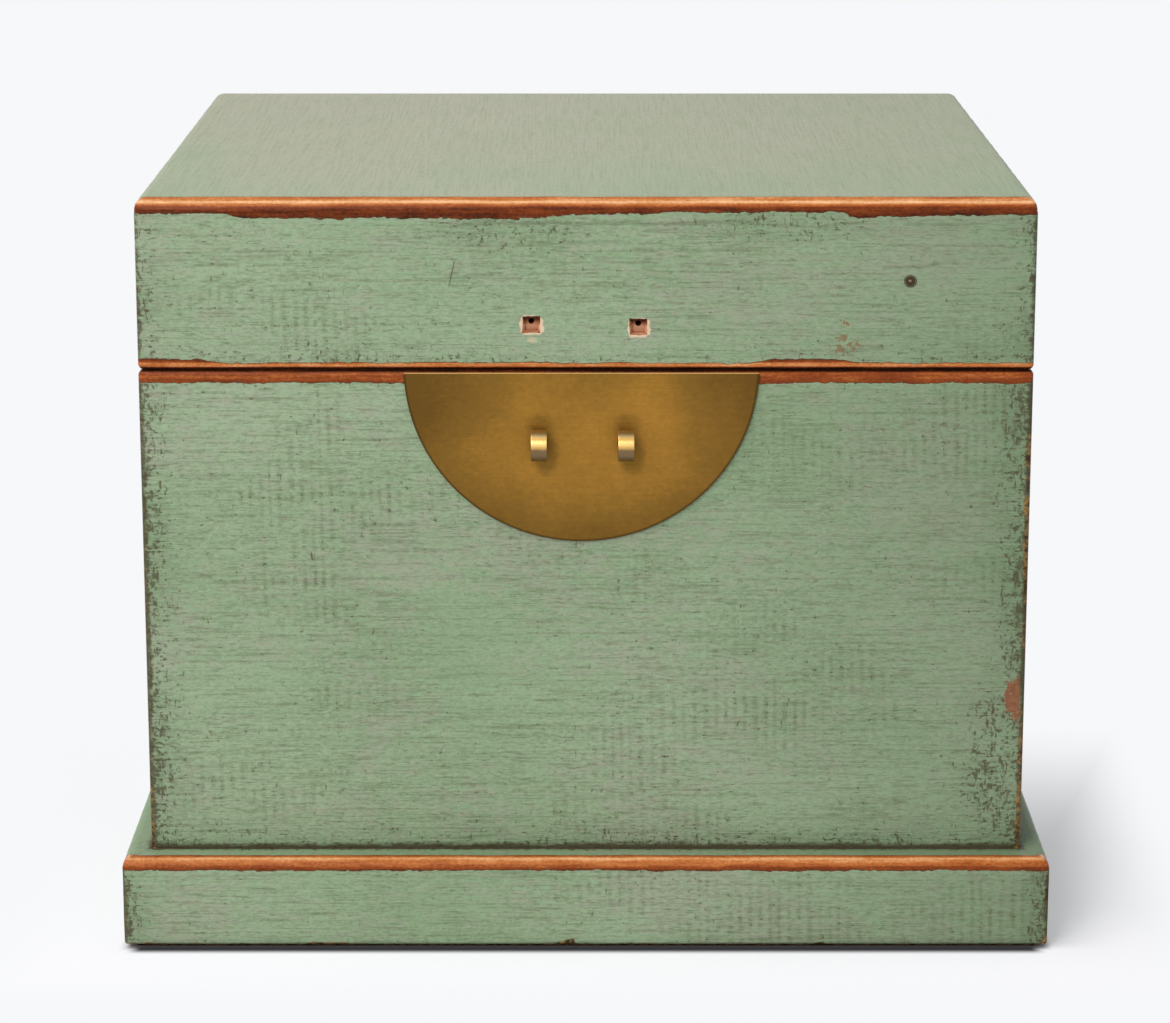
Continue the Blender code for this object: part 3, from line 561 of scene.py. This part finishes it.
# Bottom panel and its battens
# A plain board that floats in grooves of the box, and two battens under it in sliding dovetails, which keep
# it flat. All of it is planed wood, darkened with age.

for node, wood in (
    ("bottom_panel", wood_along_x),
    ("bottom_batten_left", wood_along_y),
    ("bottom_batten_right", wood_along_y),
):
    dress(eased_copy(node), node, [wood])

# Rim lips
# Four thin strips pinned inside the box's rim. They stand up into the lid and keep it in place, and their
# upper edges are rounded and worn pale.

LIP_PALE = (0.470, 0.220, 0.095, 1)
LIP_DEEP = (0.200, 0.075, 0.026, 1)

lip_woods = (
    plain_wood("lip_along_x", (7, 150, 150), LIP_PALE, LIP_DEEP),
    plain_wood("lip_along_y", (150, 7, 150), LIP_PALE, LIP_DEEP),
)
for side, (axis, _) in SIDES.items():
    node = f"rim_lip_{side}"
    dress(eased_copy(node), node, [lip_woods[axis]])

# Lock plate
# A half-moon of sheet brass on the front of the box, filed thin at the edge and held by the staples. It has a
# brown patina, darker round the rim, where it isn't rubbed. The shadows round the staples, a dark line round
# the edge and a bright line along the top edge are painted shade and painted highlight.

PLATE_LOW, PLATE_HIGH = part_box("lock_plate")
PLATE_X = (PLATE_LOW.x + PLATE_HIGH.x) / 2
PLATE_HALF = (PLATE_HIGH.x - PLATE_LOW.x) / 2
PLATE_DROP = PLATE_HIGH.z - PLATE_LOW.z
PLATE_RADIUS = (PLATE_HALF**2 + PLATE_DROP**2) / (2 * PLATE_DROP)
PLATE_Z = PLATE_LOW.z + PLATE_RADIUS
STAPLES = {name: sum(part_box(f"lock_staple_{name}"), Vector()) / 2 for name in ("left", "right")}
BRASS_BROWN = (0.150, 0.078, 0.016, 1)
BRASS_OLIVE = (0.235, 0.124, 0.023, 1)
BRASS_WARM = (0.390, 0.195, 0.033, 1)
PLATE_RIM_SHADE = (0.060, 0.034, 0.010, 1)
PLATE_EDGE_HIGHLIGHT = (0.620, 0.370, 0.130, 1)
BRASS_RELIEF = 0.00006

plate_brass, place = new_finish("plate_brass")
x, _, z = axes(place)
clouds = mottle(place, (16, 16, 16), 3.0, 0.55)
grit = mottle(place, (300, 300, 420), 3.0, 0.7)
brushed = mottle(place, (12, 12, 1300))
level = 0.38 + 0.7 * (clouds - 0.5) + 0.50 * (grit - 0.5) + 0.16 * (brushed - 0.5)
level = level + 0.38 * spot(x, z, (PLATE_X, PLATE_HIGH.z - 0.044), (0.130, 0.066))
level = level - 0.26 * spot(x, z, (PLATE_LOW.x + 0.022, PLATE_HIGH.z - 0.014), (0.065, 0.045))
level = level - 0.26 * spot(x, z, (PLATE_HIGH.x - 0.016, PLATE_HIGH.z - 0.020), (0.055, 0.060))
rim = (x - PLATE_X) * (x - PLATE_X) + (z - PLATE_Z) * (z - PLATE_Z)
level = level - 0.10 * fade(rim, (PLATE_RADIUS - 0.022) ** 2, PLATE_RADIUS**2)
# Painted shadows of each staple: one below and right of it, and a smaller one above it where it meets the
# plate.
for middle in STAPLES.values():
    level = level - 0.42 * spot(x, z, (middle.x + 0.004, middle.z - 0.008), (0.011, 0.018))
    level = level - 0.25 * spot(x, z, (middle.x + 0.001, middle.z + 0.012), (0.012, 0.010))
colour = tones(level, (0.0, BRASS_BROWN), (0.45, BRASS_OLIVE), (0.9, BRASS_WARM))
# A painted dark line of shade round the plate's outline, and a painted highlight along its top edge.
shaded = fade(rim, (PLATE_RADIUS - 0.0020) ** 2, (PLATE_RADIUS - 0.0006) ** 2)
colour = blend(0.75 * shaded, colour, PLATE_RIM_SHADE)
colour = blend(fade(PLATE_HIGH.z - z, 0.0008, 0.0003), colour, PLATE_EDGE_HIGHLIGHT)
roughness = 0.46 + 0.25 * (clouds - 0.5) + 0.1 * (grit - 0.5)
finish_surface(colour, roughness, brushed + 0.6 * grit, BRASS_RELIEF, metallic=1.0)

dress(merged_copy("lock_plate"), "lock_plate", [plate_brass])

# Staples
# Two brass straps, each bent into an eye for the padlock's bolt, driven through plate and board and clinched
# inside. Their colour follows height as painted light: a painted highlight on the upper side of each eye and
# painted shade on the underside.

BRASS_PAINTED_HIGHLIGHT = (0.860, 0.560, 0.190, 1)
BRASS_PAINTED_SHADE = (0.225, 0.148, 0.076, 1)
BRASS_GOLD = (0.620, 0.370, 0.105, 1)
BRASS_PALE = (0.340, 0.240, 0.110, 1)
STAPLE_HEIGHT = 0.020
STAPLE_EASE = 0.00035

staple_brass, place = new_finish("staple_brass")
above = axes(place)[2] - STAPLES["left"].z
worn = mottle(place, (400, 400, 90), 3.0, 0.6) - 0.5
level = above * (1 / STAPLE_HEIGHT) + 0.5 + 0.08 * worn
# Tones by height round the eye are painted light: paler at the ends, a painted highlight on the upper side,
# painted shade on the underside.
colour = tones(
    level,
    (0.10, BRASS_PALE), (0.17, BRASS_PAINTED_SHADE), (0.44, BRASS_PAINTED_SHADE), (0.51, BRASS_GOLD), (0.60, BRASS_PAINTED_HIGHLIGHT),
    (0.74, BRASS_PAINTED_HIGHLIGHT), (0.82, BRASS_GOLD), (0.90, BRASS_PALE),
)
dull = 0.42 - 0.16 * fade(level, 0.35, 0.7) + 0.08 * fade(level, 0.80, 0.90)
finish_surface(colour, dull + 0.1 * worn, worn, BRASS_RELIEF / 2, metallic=1.0)

for name in STAPLES:
    node = f"lock_staple_{name}"
    dress(eased_copy(node, STAPLE_EASE), node, [staple_brass])

# Hinges
# Two cast brass stop butts let into the rims at the back: a leaf on the box, a leaf on the lid, a pin, and
# three countersunk screws in each leaf. They are dull and mottled, as they are never polished.

hinge_brass, place = new_finish("hinge_brass")
clouds = mottle(place, (60, 60, 60), 3.0, 0.6)
grit = mottle(place, (500, 500, 500), 2.0, 0.6)
colour = tones(clouds + 0.3 * (grit - 0.5), (0.25, BRASS_BROWN), (0.50, BRASS_OLIVE), (0.78, BRASS_GOLD))
finish_surface(colour, 0.40 + 0.3 * (grit - 0.5), grit, BRASS_RELIEF * 2 / 3, metallic=1.0)

for node, piece in frame["nodes"].items():
    if node.startswith("hinge_"):
        piece.data.materials.clear()
        piece.data.materials.append(hinge_brass)

# Lid boards
# The lid's low frame of four boards, dovetailed like the box and painted with it. In the front are two empty
# mortises, where a hasp plate was let in, with the pale ground broken out round them, and old scars.

LID_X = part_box("lid_top_panel")[1].x
LID_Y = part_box("lid_top_panel")[1].y
LID_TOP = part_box("lid_top_panel")[1].z
LID_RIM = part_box("lid_front_board")[0].z
BOARD_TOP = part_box("lid_front_board")[1].z
LID_ROUND = 0.003
LID_NOSE = 0.008
NOSE_REACH = 0.016
MORTISES = ((-0.0365, 0.4325), (0.0350, 0.4310))
MORTISE_SIZE = (0.0092, 0.0042, 0.0086)
MORTISE_TONES = (
    (0.04, (0.240, 0.090, 0.035, 1)),
    (0.20, (0.500, 0.220, 0.115, 1)),
    (0.44, (0.560, 0.280, 0.160, 1)),
    (0.60, (0.280, 0.100, 0.040, 1)),
    (0.78, (0.085, 0.025, 0.010, 1)),
)
TONES_HEIGHT = 0.013
CHIP_WIDTH = 0.0013
TORN_SIZE = 0.0030
CREAM_GROUND = (0.680, 0.510, 0.345, 1)
GROUND_RIM = (0.0036, 0.0028)
GROUND_SHIFT = (0.0004, -0.0005)
GROUND_ROUND = 0.004
FLAKE = (MORTISES[0][0] + 0.0005, MORTISES[0][1] - 0.0105)
FLAKE_REACH = (0.0045, 0.0030)
SCARS = ((0.1714, 0.4332), (0.1714, 0.4232), (0.1688, 0.4160), (0.1787, 0.4182))
SCAR_REACH = (0.0060, 0.0042)
SCAR_TAN = (0.215, 0.128, 0.062, 1)
SMEARS = ((-0.055, 0.4960), (0.130, 0.4980))
SMEAR_REACH = (0.090, 0.016)
SCRATCH = (-0.0893, 0.4670)
SCUFF = (0.010, 0.5010)


def nose_wear(place):
    """How bare the lid's upper edge is, how bright the bare wood is down its curve, and the raggedness of the
    paint. The brightness is the wood's polish with a painted highlight a few millimetres below the top and
    painted shade lower down. The front edge is worn deepest left of the middle and near the right end."""
    x, y, z = axes(place)
    inward = smaller(LID_X - abs(x), LID_Y - abs(y))
    down = LID_TOP - z
    front = at_front(y, LID_Y, behind=0.012)
    ragged = uneven(place)
    along = (x + LID_X) * (1 / (2 * LID_X))
    deep = profile(
        along,
        (0.0, 0.66), (0.10, 0.68), (0.118, 0.86), (0.43, 0.88), (0.49, 0.72), (0.60, 0.62),
        (0.785, 0.62), (0.80, 0.86), (0.90, 0.80), (1.0, 0.72),
    )
    back_reach = 0.0006 + 0.0078 * front + 0.005 * ragged
    down_reach = 0.0010 + front * (NOSE_REACH * deep - 0.0010) + 0.008 * ragged
    # Brightness down the nose: a painted highlight about three millimetres below the top, painted shade
    # lower.
    polish_and_painted_light = profile(
        down * (1 / NOSE_REACH),
        (0.0, 0.30), (0.03, 0.58), (0.12, 0.70), (0.16, 0.78), (0.19, 0.94), (0.24, 0.86),
        (0.28, 0.64), (0.36, 0.44), (0.43, 0.24), (0.60, 0.19), (0.80, 0.13),
    )
    return wearing(back_reach, inward) * wearing(down_reach, down), polish_and_painted_light, ragged


lid_lacquer, place = new_finish("lid_lacquer")
x, y, z = axes(place)
nose, polish_and_painted_light, ragged = nose_wear(place)
corner = (LID_X - abs(x)) + (LID_Y - abs(y))
up = z - LID_RIM
front = at_front(y, LID_Y, behind=0.012)
high_rim = profile(
    (x + LID_X) * (1 / (2 * LID_X)),
    (0.0, 0.98), (0.07, 0.92), (0.09, 0.60), (0.30, 0.66), (0.68, 0.60), (0.71, 0.96),
    (0.77, 0.92), (0.81, 0.60), (1.0, 0.62),
)
rim = wearing(0.0032 + front * (0.008 * high_rim - 0.0032) + 0.005 * ragged, up)
arris = wearing(0.0010 + 0.006 * ragged, corner)
# Brightness up the lid's lower arris: a painted highlight a few millimetres up, and dark over the lowest
# millimetre and a half as painted shade in the seam above the box.
low_polish_and_painted_light = profile(
    up * 100, (0.14, 0.0), (0.19, 0.34), (0.25, 0.66), (0.45, 0.68), (0.58, 0.28), (0.75, 0.16)
)
polish_and_painted_light = larger(polish_and_painted_light * fade(up, 0.02, 0.03), low_polish_and_painted_light * fade(up, 0.03, 0.02))
scratch = fade(abs(x - 0.22 * (z - SCRATCH[1]) - SCRATCH[0]), 0.0007, 0.0002)
scratch = 0.7 * front * scratch * fade(abs(z - SCRATCH[1]), 0.010, 0.007)
scuff = fade(abs(z - SCUFF[1] + 0.012 * ragged), 0.0022, 0.0004) * fade(abs(x - SCUFF[0]), 0.125, 0.070)
# The scratch and the scuff are real marks; the dark line along the rounded corner arrises is partly dirt and
# partly painted shade.
marks = larger(larger(scratch, 0.35 * front * scuff), 0.85 * fade(corner + 0.012 * ragged, 0.0034, 0.0014))
dirty = larger(0.9 * fade(corner, 0.030, 0.003), 0.7 * fade(up, 0.030, 0.004))
for middle in SMEARS:
    dirty = larger(dirty, 0.75 * front * spot(x, z, middle, SMEAR_REACH))
speckle = mottle(place, (330, 330, 330), 3.0, 0.65)
scarred = 0.0
for middle in SCARS:
    scarred = scarred + front * spot(x, z, middle, SCAR_REACH)
scarred = fade(speckle + 0.16 * scarred, 0.60, 0.70) * fade(scarred, 0.02, 0.15)
broken = 0.45 * front * spot(x, z, FLAKE, FLAKE_REACH)
for across, height in MORTISES:
    wide = abs(x - across - GROUND_SHIFT[0]) - MORTISE_SIZE[0] / 2 - GROUND_RIM[0]
    tall = abs(z - height - GROUND_SHIFT[1]) - MORTISE_SIZE[2] / 2 - GROUND_RIM[1]
    wide = larger(wide + GROUND_ROUND + 0.007 * ragged, 0.0)
    tall = larger(tall + GROUND_ROUND + 0.005 * ragged, 0.0)
    bared = fade(wide * wide + tall * tall, GROUND_ROUND**2, (0.75 * GROUND_ROUND) ** 2)
    broken = larger(broken, bared * front)
chips = [(broken, CREAM_GROUND), (0.85 * scarred, SCAR_TAN)]
paint(place, larger(nose, larger(rim, arris)), polish_and_painted_light, dirty, marks, chips)

mortise_wood, place = new_finish("mortise_wood")
x, _, z = axes(place)
(_, left_height), (_, right_height) = MORTISES
above = z - (left_height + (right_height - left_height) * fade(x, -0.001, 0.001))
grain = mottle(place, (90, 300, 420), 3.0, 0.65)
# The wood in the mortises is darker at the bottom, and darkest towards the top as painted shade under their
# upper edge.
colour = tones(0.5 + above * (1 / TONES_HEIGHT) + 0.45 * (grain - 0.5), *MORTISE_TONES)
finish_surface(colour, 0.7, grain, WOOD_RELIEF)


def in_mortise(point, margin):
    for across, height in MORTISES:
        beside = abs(point.x - across) - MORTISE_SIZE[0] / 2
        above = abs(point.z - height) - MORTISE_SIZE[2] / 2
        if max(beside, above) < margin:
            return point.y < -LID_Y + MORTISE_SIZE[1] + margin
    return False


def faces_beside(work, across, reach):
    return [face for face in work.faces if abs(face.calc_center_median().x - across) < reach]


def chip_mortises(work):
    """Breaks the rims of the mortises out to an uneven splay: cuts the board into a grid round each mortise,
    moves the rim outwards, and fills the front in again round it."""
    margin = 3 * CHIP_WIDTH
    halves = (MORTISE_SIZE[0] / 2, MORTISE_SIZE[2] / 2)
    reach = halves[0] + margin
    for centre in MORTISES:
        for side in (-1, 1):
            cut_across(work, 0, centre[0] + side * reach)
        for axis, middle, half in zip((0, 2), centre, halves):
            for quarter in range(-4, 5):
                cut_across(work, axis, middle + quarter / 4 * half, faces_beside(work, centre[0], reach))
            for side in (-1, 1):
                position = middle + side * (half + margin)
                cut_across(work, axis, position, faces_beside(work, centre[0], reach))
        cut_across(work, 1, -LID_Y + CHIP_WIDTH, faces_beside(work, centre[0], reach))
        ring = [
            face
            for face in faces_beside(work, centre[0], reach)
            if all(abs(vert.co.y + LID_Y) < WELD for vert in face.verts)
            and abs(face.calc_center_median().z - centre[1]) < halves[1] + margin
        ]
        bmesh.ops.delete(work, geom=ring, context="FACES")
        rim = [vert for vert in work.verts if abs(vert.co.y + LID_Y) < WELD and in_mortise(vert.co, WELD)]
        for vert in rim:
            torn = noise.noise(vert.co / TORN_SIZE)
            for axis, middle, half in zip((0, 2), centre, halves):
                out = vert.co[axis] - middle
                if abs(abs(out) - half) < 2 * WELD:
                    vert.co[axis] += math.copysign(CHIP_WIDTH * (1 + 0.5 * torn), out)
        open_edges = [edge for edge in work.edges if edge.is_boundary]
        bmesh.ops.triangle_fill(work, use_beauty=True, edges=open_edges, normal=Vector((0, -1, 0)))


outside = outer_face(LID_X, LID_Y, LID_ROUND)


def front_face(face):
    middle = face.calc_center_median()
    return 2 if middle.y > -LID_Y + WELD and in_mortise(middle, 2 * CHIP_WIDTH) else outside(face)


low, high = Vector((-LID_X, -LID_Y, LID_RIM)), Vector((LID_X, LID_Y, LID_TOP))
for side, (axis, wood) in SIDES.items():
    node = f"lid_{side}_board"
    work = merged_copy(node)
    if side == "front":
        chip_mortises(work)
    wear_down(work, node, axis, low, high, LID_ROUND)
    pick = front_face if side == "front" else outside
    dress(work, node, [lid_lacquer, wood, mortise_wood], pick)

# Lid panel
# One broad board glued down on the lid's frame, with a rebate underneath that fits inside it. Its lacquer is
# rubbed grey and finely scratched from front to back, and the rounded front edge is polished bare by hands.

TOP_GREY = (0.400, 0.405, 0.292, 1)
TOP_GREEN = (0.326, 0.386, 0.254, 1)
THREAD_PITCH = 0.0024
TOP_RELIEF = 0.0004
SEAM_REACH = 0.0005

panel_lacquer, place = new_finish("panel_lacquer")
x, y, z = axes(place)
nose, polish_and_painted_light, _ = nose_wear(place)
inward = smaller(LID_X - abs(x), LID_Y - abs(y))
hairs = mottle(place, (600, 15, 15), 3.0, 0.7)
weave = threads(place, "X", (math.tau / (20 * THREAD_PITCH), 45, 45), 8.0)
weave = weave * fade(mottle(place, (8, 12, 12), 2.0, 0.6), 0.36, 0.62)
brushes = mottle(place, (36, 7, 7), 2.0)
fine = mottle(place, (330, 330, 480), 2.0, 0.6)
broad = mottle(place, (4, 4, 4), 2.0)
share = fade(broad + 0.8 * (y + 0.1) + 0.35 * (brushes - 0.5), 0.15, 0.75)
colour = blend(share, TOP_GREEN, TOP_GREY)
colour = blend(0.34 * fade(hairs + 0.9 * (fine - 0.5), 0.40, 0.78), colour, SAGE_SOILED_AND_SHADED)
colour = blend(0.07 * weave, colour, SAGE_SOILED_AND_SHADED)
# Darker towards the right, partly soil and partly a painted falloff of the lamp light.
colour = blend(0.20 * fade(x, -0.1, 0.34), colour, SAGE_SOILED_AND_SHADED)
crumbs = fade(mottle(place, (190, 190, 190), 2.0, 0.65) + 0.06 * fade(inward, 0.02, 0.0), 0.74, 0.80)
colour = blend(0.6 * crumbs, colour, GRIME_AND_SHADE)
on_edge = fade(LID_TOP - z, 0.001, 0.004)
side_colour, _ = lacquer(place, 0.4 * on_edge)
colour = blend(on_edge, colour, side_colour)
bare = fade(nose, 0.44, 0.56)
colour = blend(bare, colour, worn_wood(place, polish_and_painted_light))
# A dark line on the wood along the paint's edge: dirt, and a painted shadow of the raised paint edge.
colour = blend(0.8 * bare * fade(nose, 1.0, 0.6), colour, GRIME_AND_SHADE)
height = (1 - bare) * (0.5 + 0.25 * hairs + 0.2 * fine) + 0.2 * bare
finish_surface(colour, 0.50 - 0.15 * bare + 0.15 * (hairs - 0.5), height, TOP_RELIEF)


def panel_face(face):
    return 0 if face.calc_center_median().z > BOARD_TOP + WELD and face.normal.z > -0.5 else 1


start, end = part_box("lid_top_panel")
work = merged_copy("lid_top_panel")
slice_up(work, 0, start.x, end.x)
slice_up(work, 1, start.y, end.y)
dent_edges(work, low, high, LID_NOSE)
for vert in work.verts:
    if 0 < vert.co.z - BOARD_TOP < SEAM_REACH:
        vert.co.z = BOARD_TOP
dress(work, "lid_top_panel", [panel_lacquer, wood_along_x], panel_face)

# Lid battens
# Two battens under the lid's panel, run in from the back in sliding dovetails. They keep the broad board
# flat, and are planed and unpainted like the rest of the inside.

for node in ("lid_batten_left", "lid_batten_right"):
    dress(eased_copy(node), node, [wood_along_y])

# Peg in the lid's front
# A turned wooden peg that plugs an old nail hole at the right of the lid's front board. It sits almost
# flush, brown with age, with dirt round it and a small pale spot in the middle of its end.

PEG = Vector((0.2160, -LID_Y, 0.4618))
PEG_RADIUS = 0.0041
PEG_LENGTH = 0.006
PEG_PROUD = 0.0004
PEG_RING = (0.0007, -0.0005)
PEG_CORE = (0.0008, 0.0007)
PEG_DARK = (0.014, 0.008, 0.004, 1)
PEG_BROWN = (0.055, 0.033, 0.014, 1)
PEG_PALE = (0.340, 0.250, 0.160, 1)

peg_wood, place = new_finish("peg_wood")
x, _, z = axes(place)
apart = (x - PEG.x) * (x - PEG.x) + (z - PEG.z) * (z - PEG.z)
grain = mottle(place, (900, 900, 900), 3.0, 0.6)
level = fade(apart, (1.05 * PEG_RADIUS) ** 2, 0.0) + 0.5 * (grain - 0.5)
colour = tones(level, (0.0, PEG_DARK), (0.45, PEG_BROWN))
pale = spot(x, z, (PEG.x - 0.0003, PEG.z + 0.0004), (0.0014, 0.0010))
colour = blend(0.8 * pale, colour, PEG_PALE)
finish_surface(colour, 0.7, grain, WOOD_RELIEF)

work = bmesh.new()
middle = PEG + Vector((0, PEG_LENGTH / 2 - PEG_PROUD, 0))
bmesh.ops.create_cone(
    work,
    cap_ends=True,
    segments=28,
    radius1=0.9 * PEG_RADIUS,
    radius2=PEG_RADIUS,
    depth=PEG_LENGTH,
    matrix=Matrix.Translation(middle) @ Matrix.Rotation(math.pi / 2, 4, "X"),
)
end = min(work.faces, key=lambda face: face.calc_center_median().y)
for thickness, depth in (PEG_RING, PEG_CORE):
    bmesh.ops.inset_region(work, faces=[end], thickness=thickness, depth=depth)
peg = make_object(work, "lid_front_peg", [peg_wood])
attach(peg, frame["nodes"]["lid_front_board"]["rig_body"])

# Studio
# A pale floor that runs into a pale backdrop, soft light from all round, a soft key from the upper left and a
# wide lamp near the front left, which falls off towards the right. A strip of painted contact shadow darkens
# the floor along the plinth's front.

PALE = (0.930, 0.936, 0.955, 1)
FLOOR_REACH = 40.0
FLOOR_WHITE = 0.90
FLOOR_DIMMED = 0.68
FLOOR_LIFT = 0.30
FLOOR_TINT = (0.975, 0.960, 1.000, 1)
FLOOR_BLACK = (0, 0, 0, 1)
AMBIENT = 0.42
CHEST_MIDDLE = Vector((0, 0, 0.27))
LAMP_PLACE = Vector((-0.95, -2.60, 1.9))
CAMERA_LENS = 114.35
CAMERA_PITCH = math.radians(13.541)
CAMERA_PLACE = (-0.0006, -LID_Y - 2.4407, 0.892)

world = bpy.data.worlds.new("studio")
world.use_nodes = True
world.node_tree.nodes.clear()


def seen_directly(tree):
    """1 for rays that show the studio itself: straight to the camera, mirrored or through glass."""
    start = Coat(tree, tree.nodes.new("ShaderNodeLightPath").outputs["Is Camera Ray"])
    mirrored = start.node("ShaderNodeLightPath", {}, {}, output="Is Glossy Ray")
    through = start.node("ShaderNodeLightPath", {}, {}, output="Is Transmission Ray")
    return larger(start, larger(mirrored, through))


seen = seen_directly(world.node_tree)
strength = AMBIENT + (1 - AMBIENT) * seen
background = seen.node("ShaderNodeBackground", {}, {"Color": PALE, "Strength": strength})
seen.node("ShaderNodeOutputWorld", {}, {"Surface": background})
bpy.context.scene.world = world

floor_paint, place = new_finish("floor_paint")
x, y, _ = axes(place)
apart = larger(abs(x) - PLINTH_X, abs(y) - PLINTH_Y)
far = larger(fade(apart, 0.015, 0.125), fade(y, -0.12, 0.24))
under = fade(apart, 0.004, -0.003)
# A painted contact shadow: the floor is darkened in a narrow strip along the plinth's front.
contact_shadow = fade(abs(y + PLINTH_Y), 0.011, 0.001) * fade(abs(x) - PLINTH_X, 0.0, -0.012)
seen = seen_directly(floor_paint.node_tree)
near_level = FLOOR_WHITE + (FLOOR_DIMMED - FLOOR_WHITE) * seen
level = near_level * (1 - far * seen) * (1 - 0.92 * contact_shadow)
lit_colour = blend(level, FLOOR_BLACK, FLOOR_TINT)
lit = place.node("ShaderNodeBsdfDiffuse", {}, {"Color": lit_colour})
lift = seen * (1 - larger(under, contact_shadow)) * (FLOOR_LIFT + (1 - FLOOR_LIFT) * far)
glow = place.node("ShaderNodeEmission", {}, {"Color": PALE, "Strength": lift})
surface = place.node("ShaderNodeAddShader", {}, {0: lit, 1: glow})
place.node("ShaderNodeOutputMaterial", {}, {"Surface": surface})

work = bmesh.new()
bmesh.ops.create_grid(work, x_segments=1, y_segments=1, size=FLOOR_REACH)
floor = make_object(work, "studio_floor", [floor_paint])


def hang_lamp(name, kind, direction, place=(0, 0, 3), **settings):
    lamp = bpy.data.lights.new(name, kind)
    for setting, value in settings.items():
        setattr(lamp, setting, value)
    holder = bpy.data.objects.new(name, lamp)
    holder.location = place
    holder.rotation_euler = direction.to_track_quat("-Z", "Y").to_euler()
    bpy.context.scene.collection.objects.link(holder)


hang_lamp("key", "SUN", Vector((0.52, 0.25, -1.0)), energy=1.60, angle=math.radians(40))
hang_lamp("front_left", "AREA", CHEST_MIDDLE - LAMP_PLACE, LAMP_PLACE, energy=36.5, size=1.1)

camera_data = bpy.data.cameras.new("camera")
camera_data.lens = CAMERA_LENS
camera_data.sensor_width = 36
camera = bpy.data.objects.new("camera", camera_data)
camera.location = CAMERA_PLACE
camera.rotation_euler = (math.pi / 2 - CAMERA_PITCH, 0, 0)
bpy.context.scene.collection.objects.link(camera)
bpy.context.scene.camera = camera
bpy.context.scene.view_settings.view_transform = "Standard"
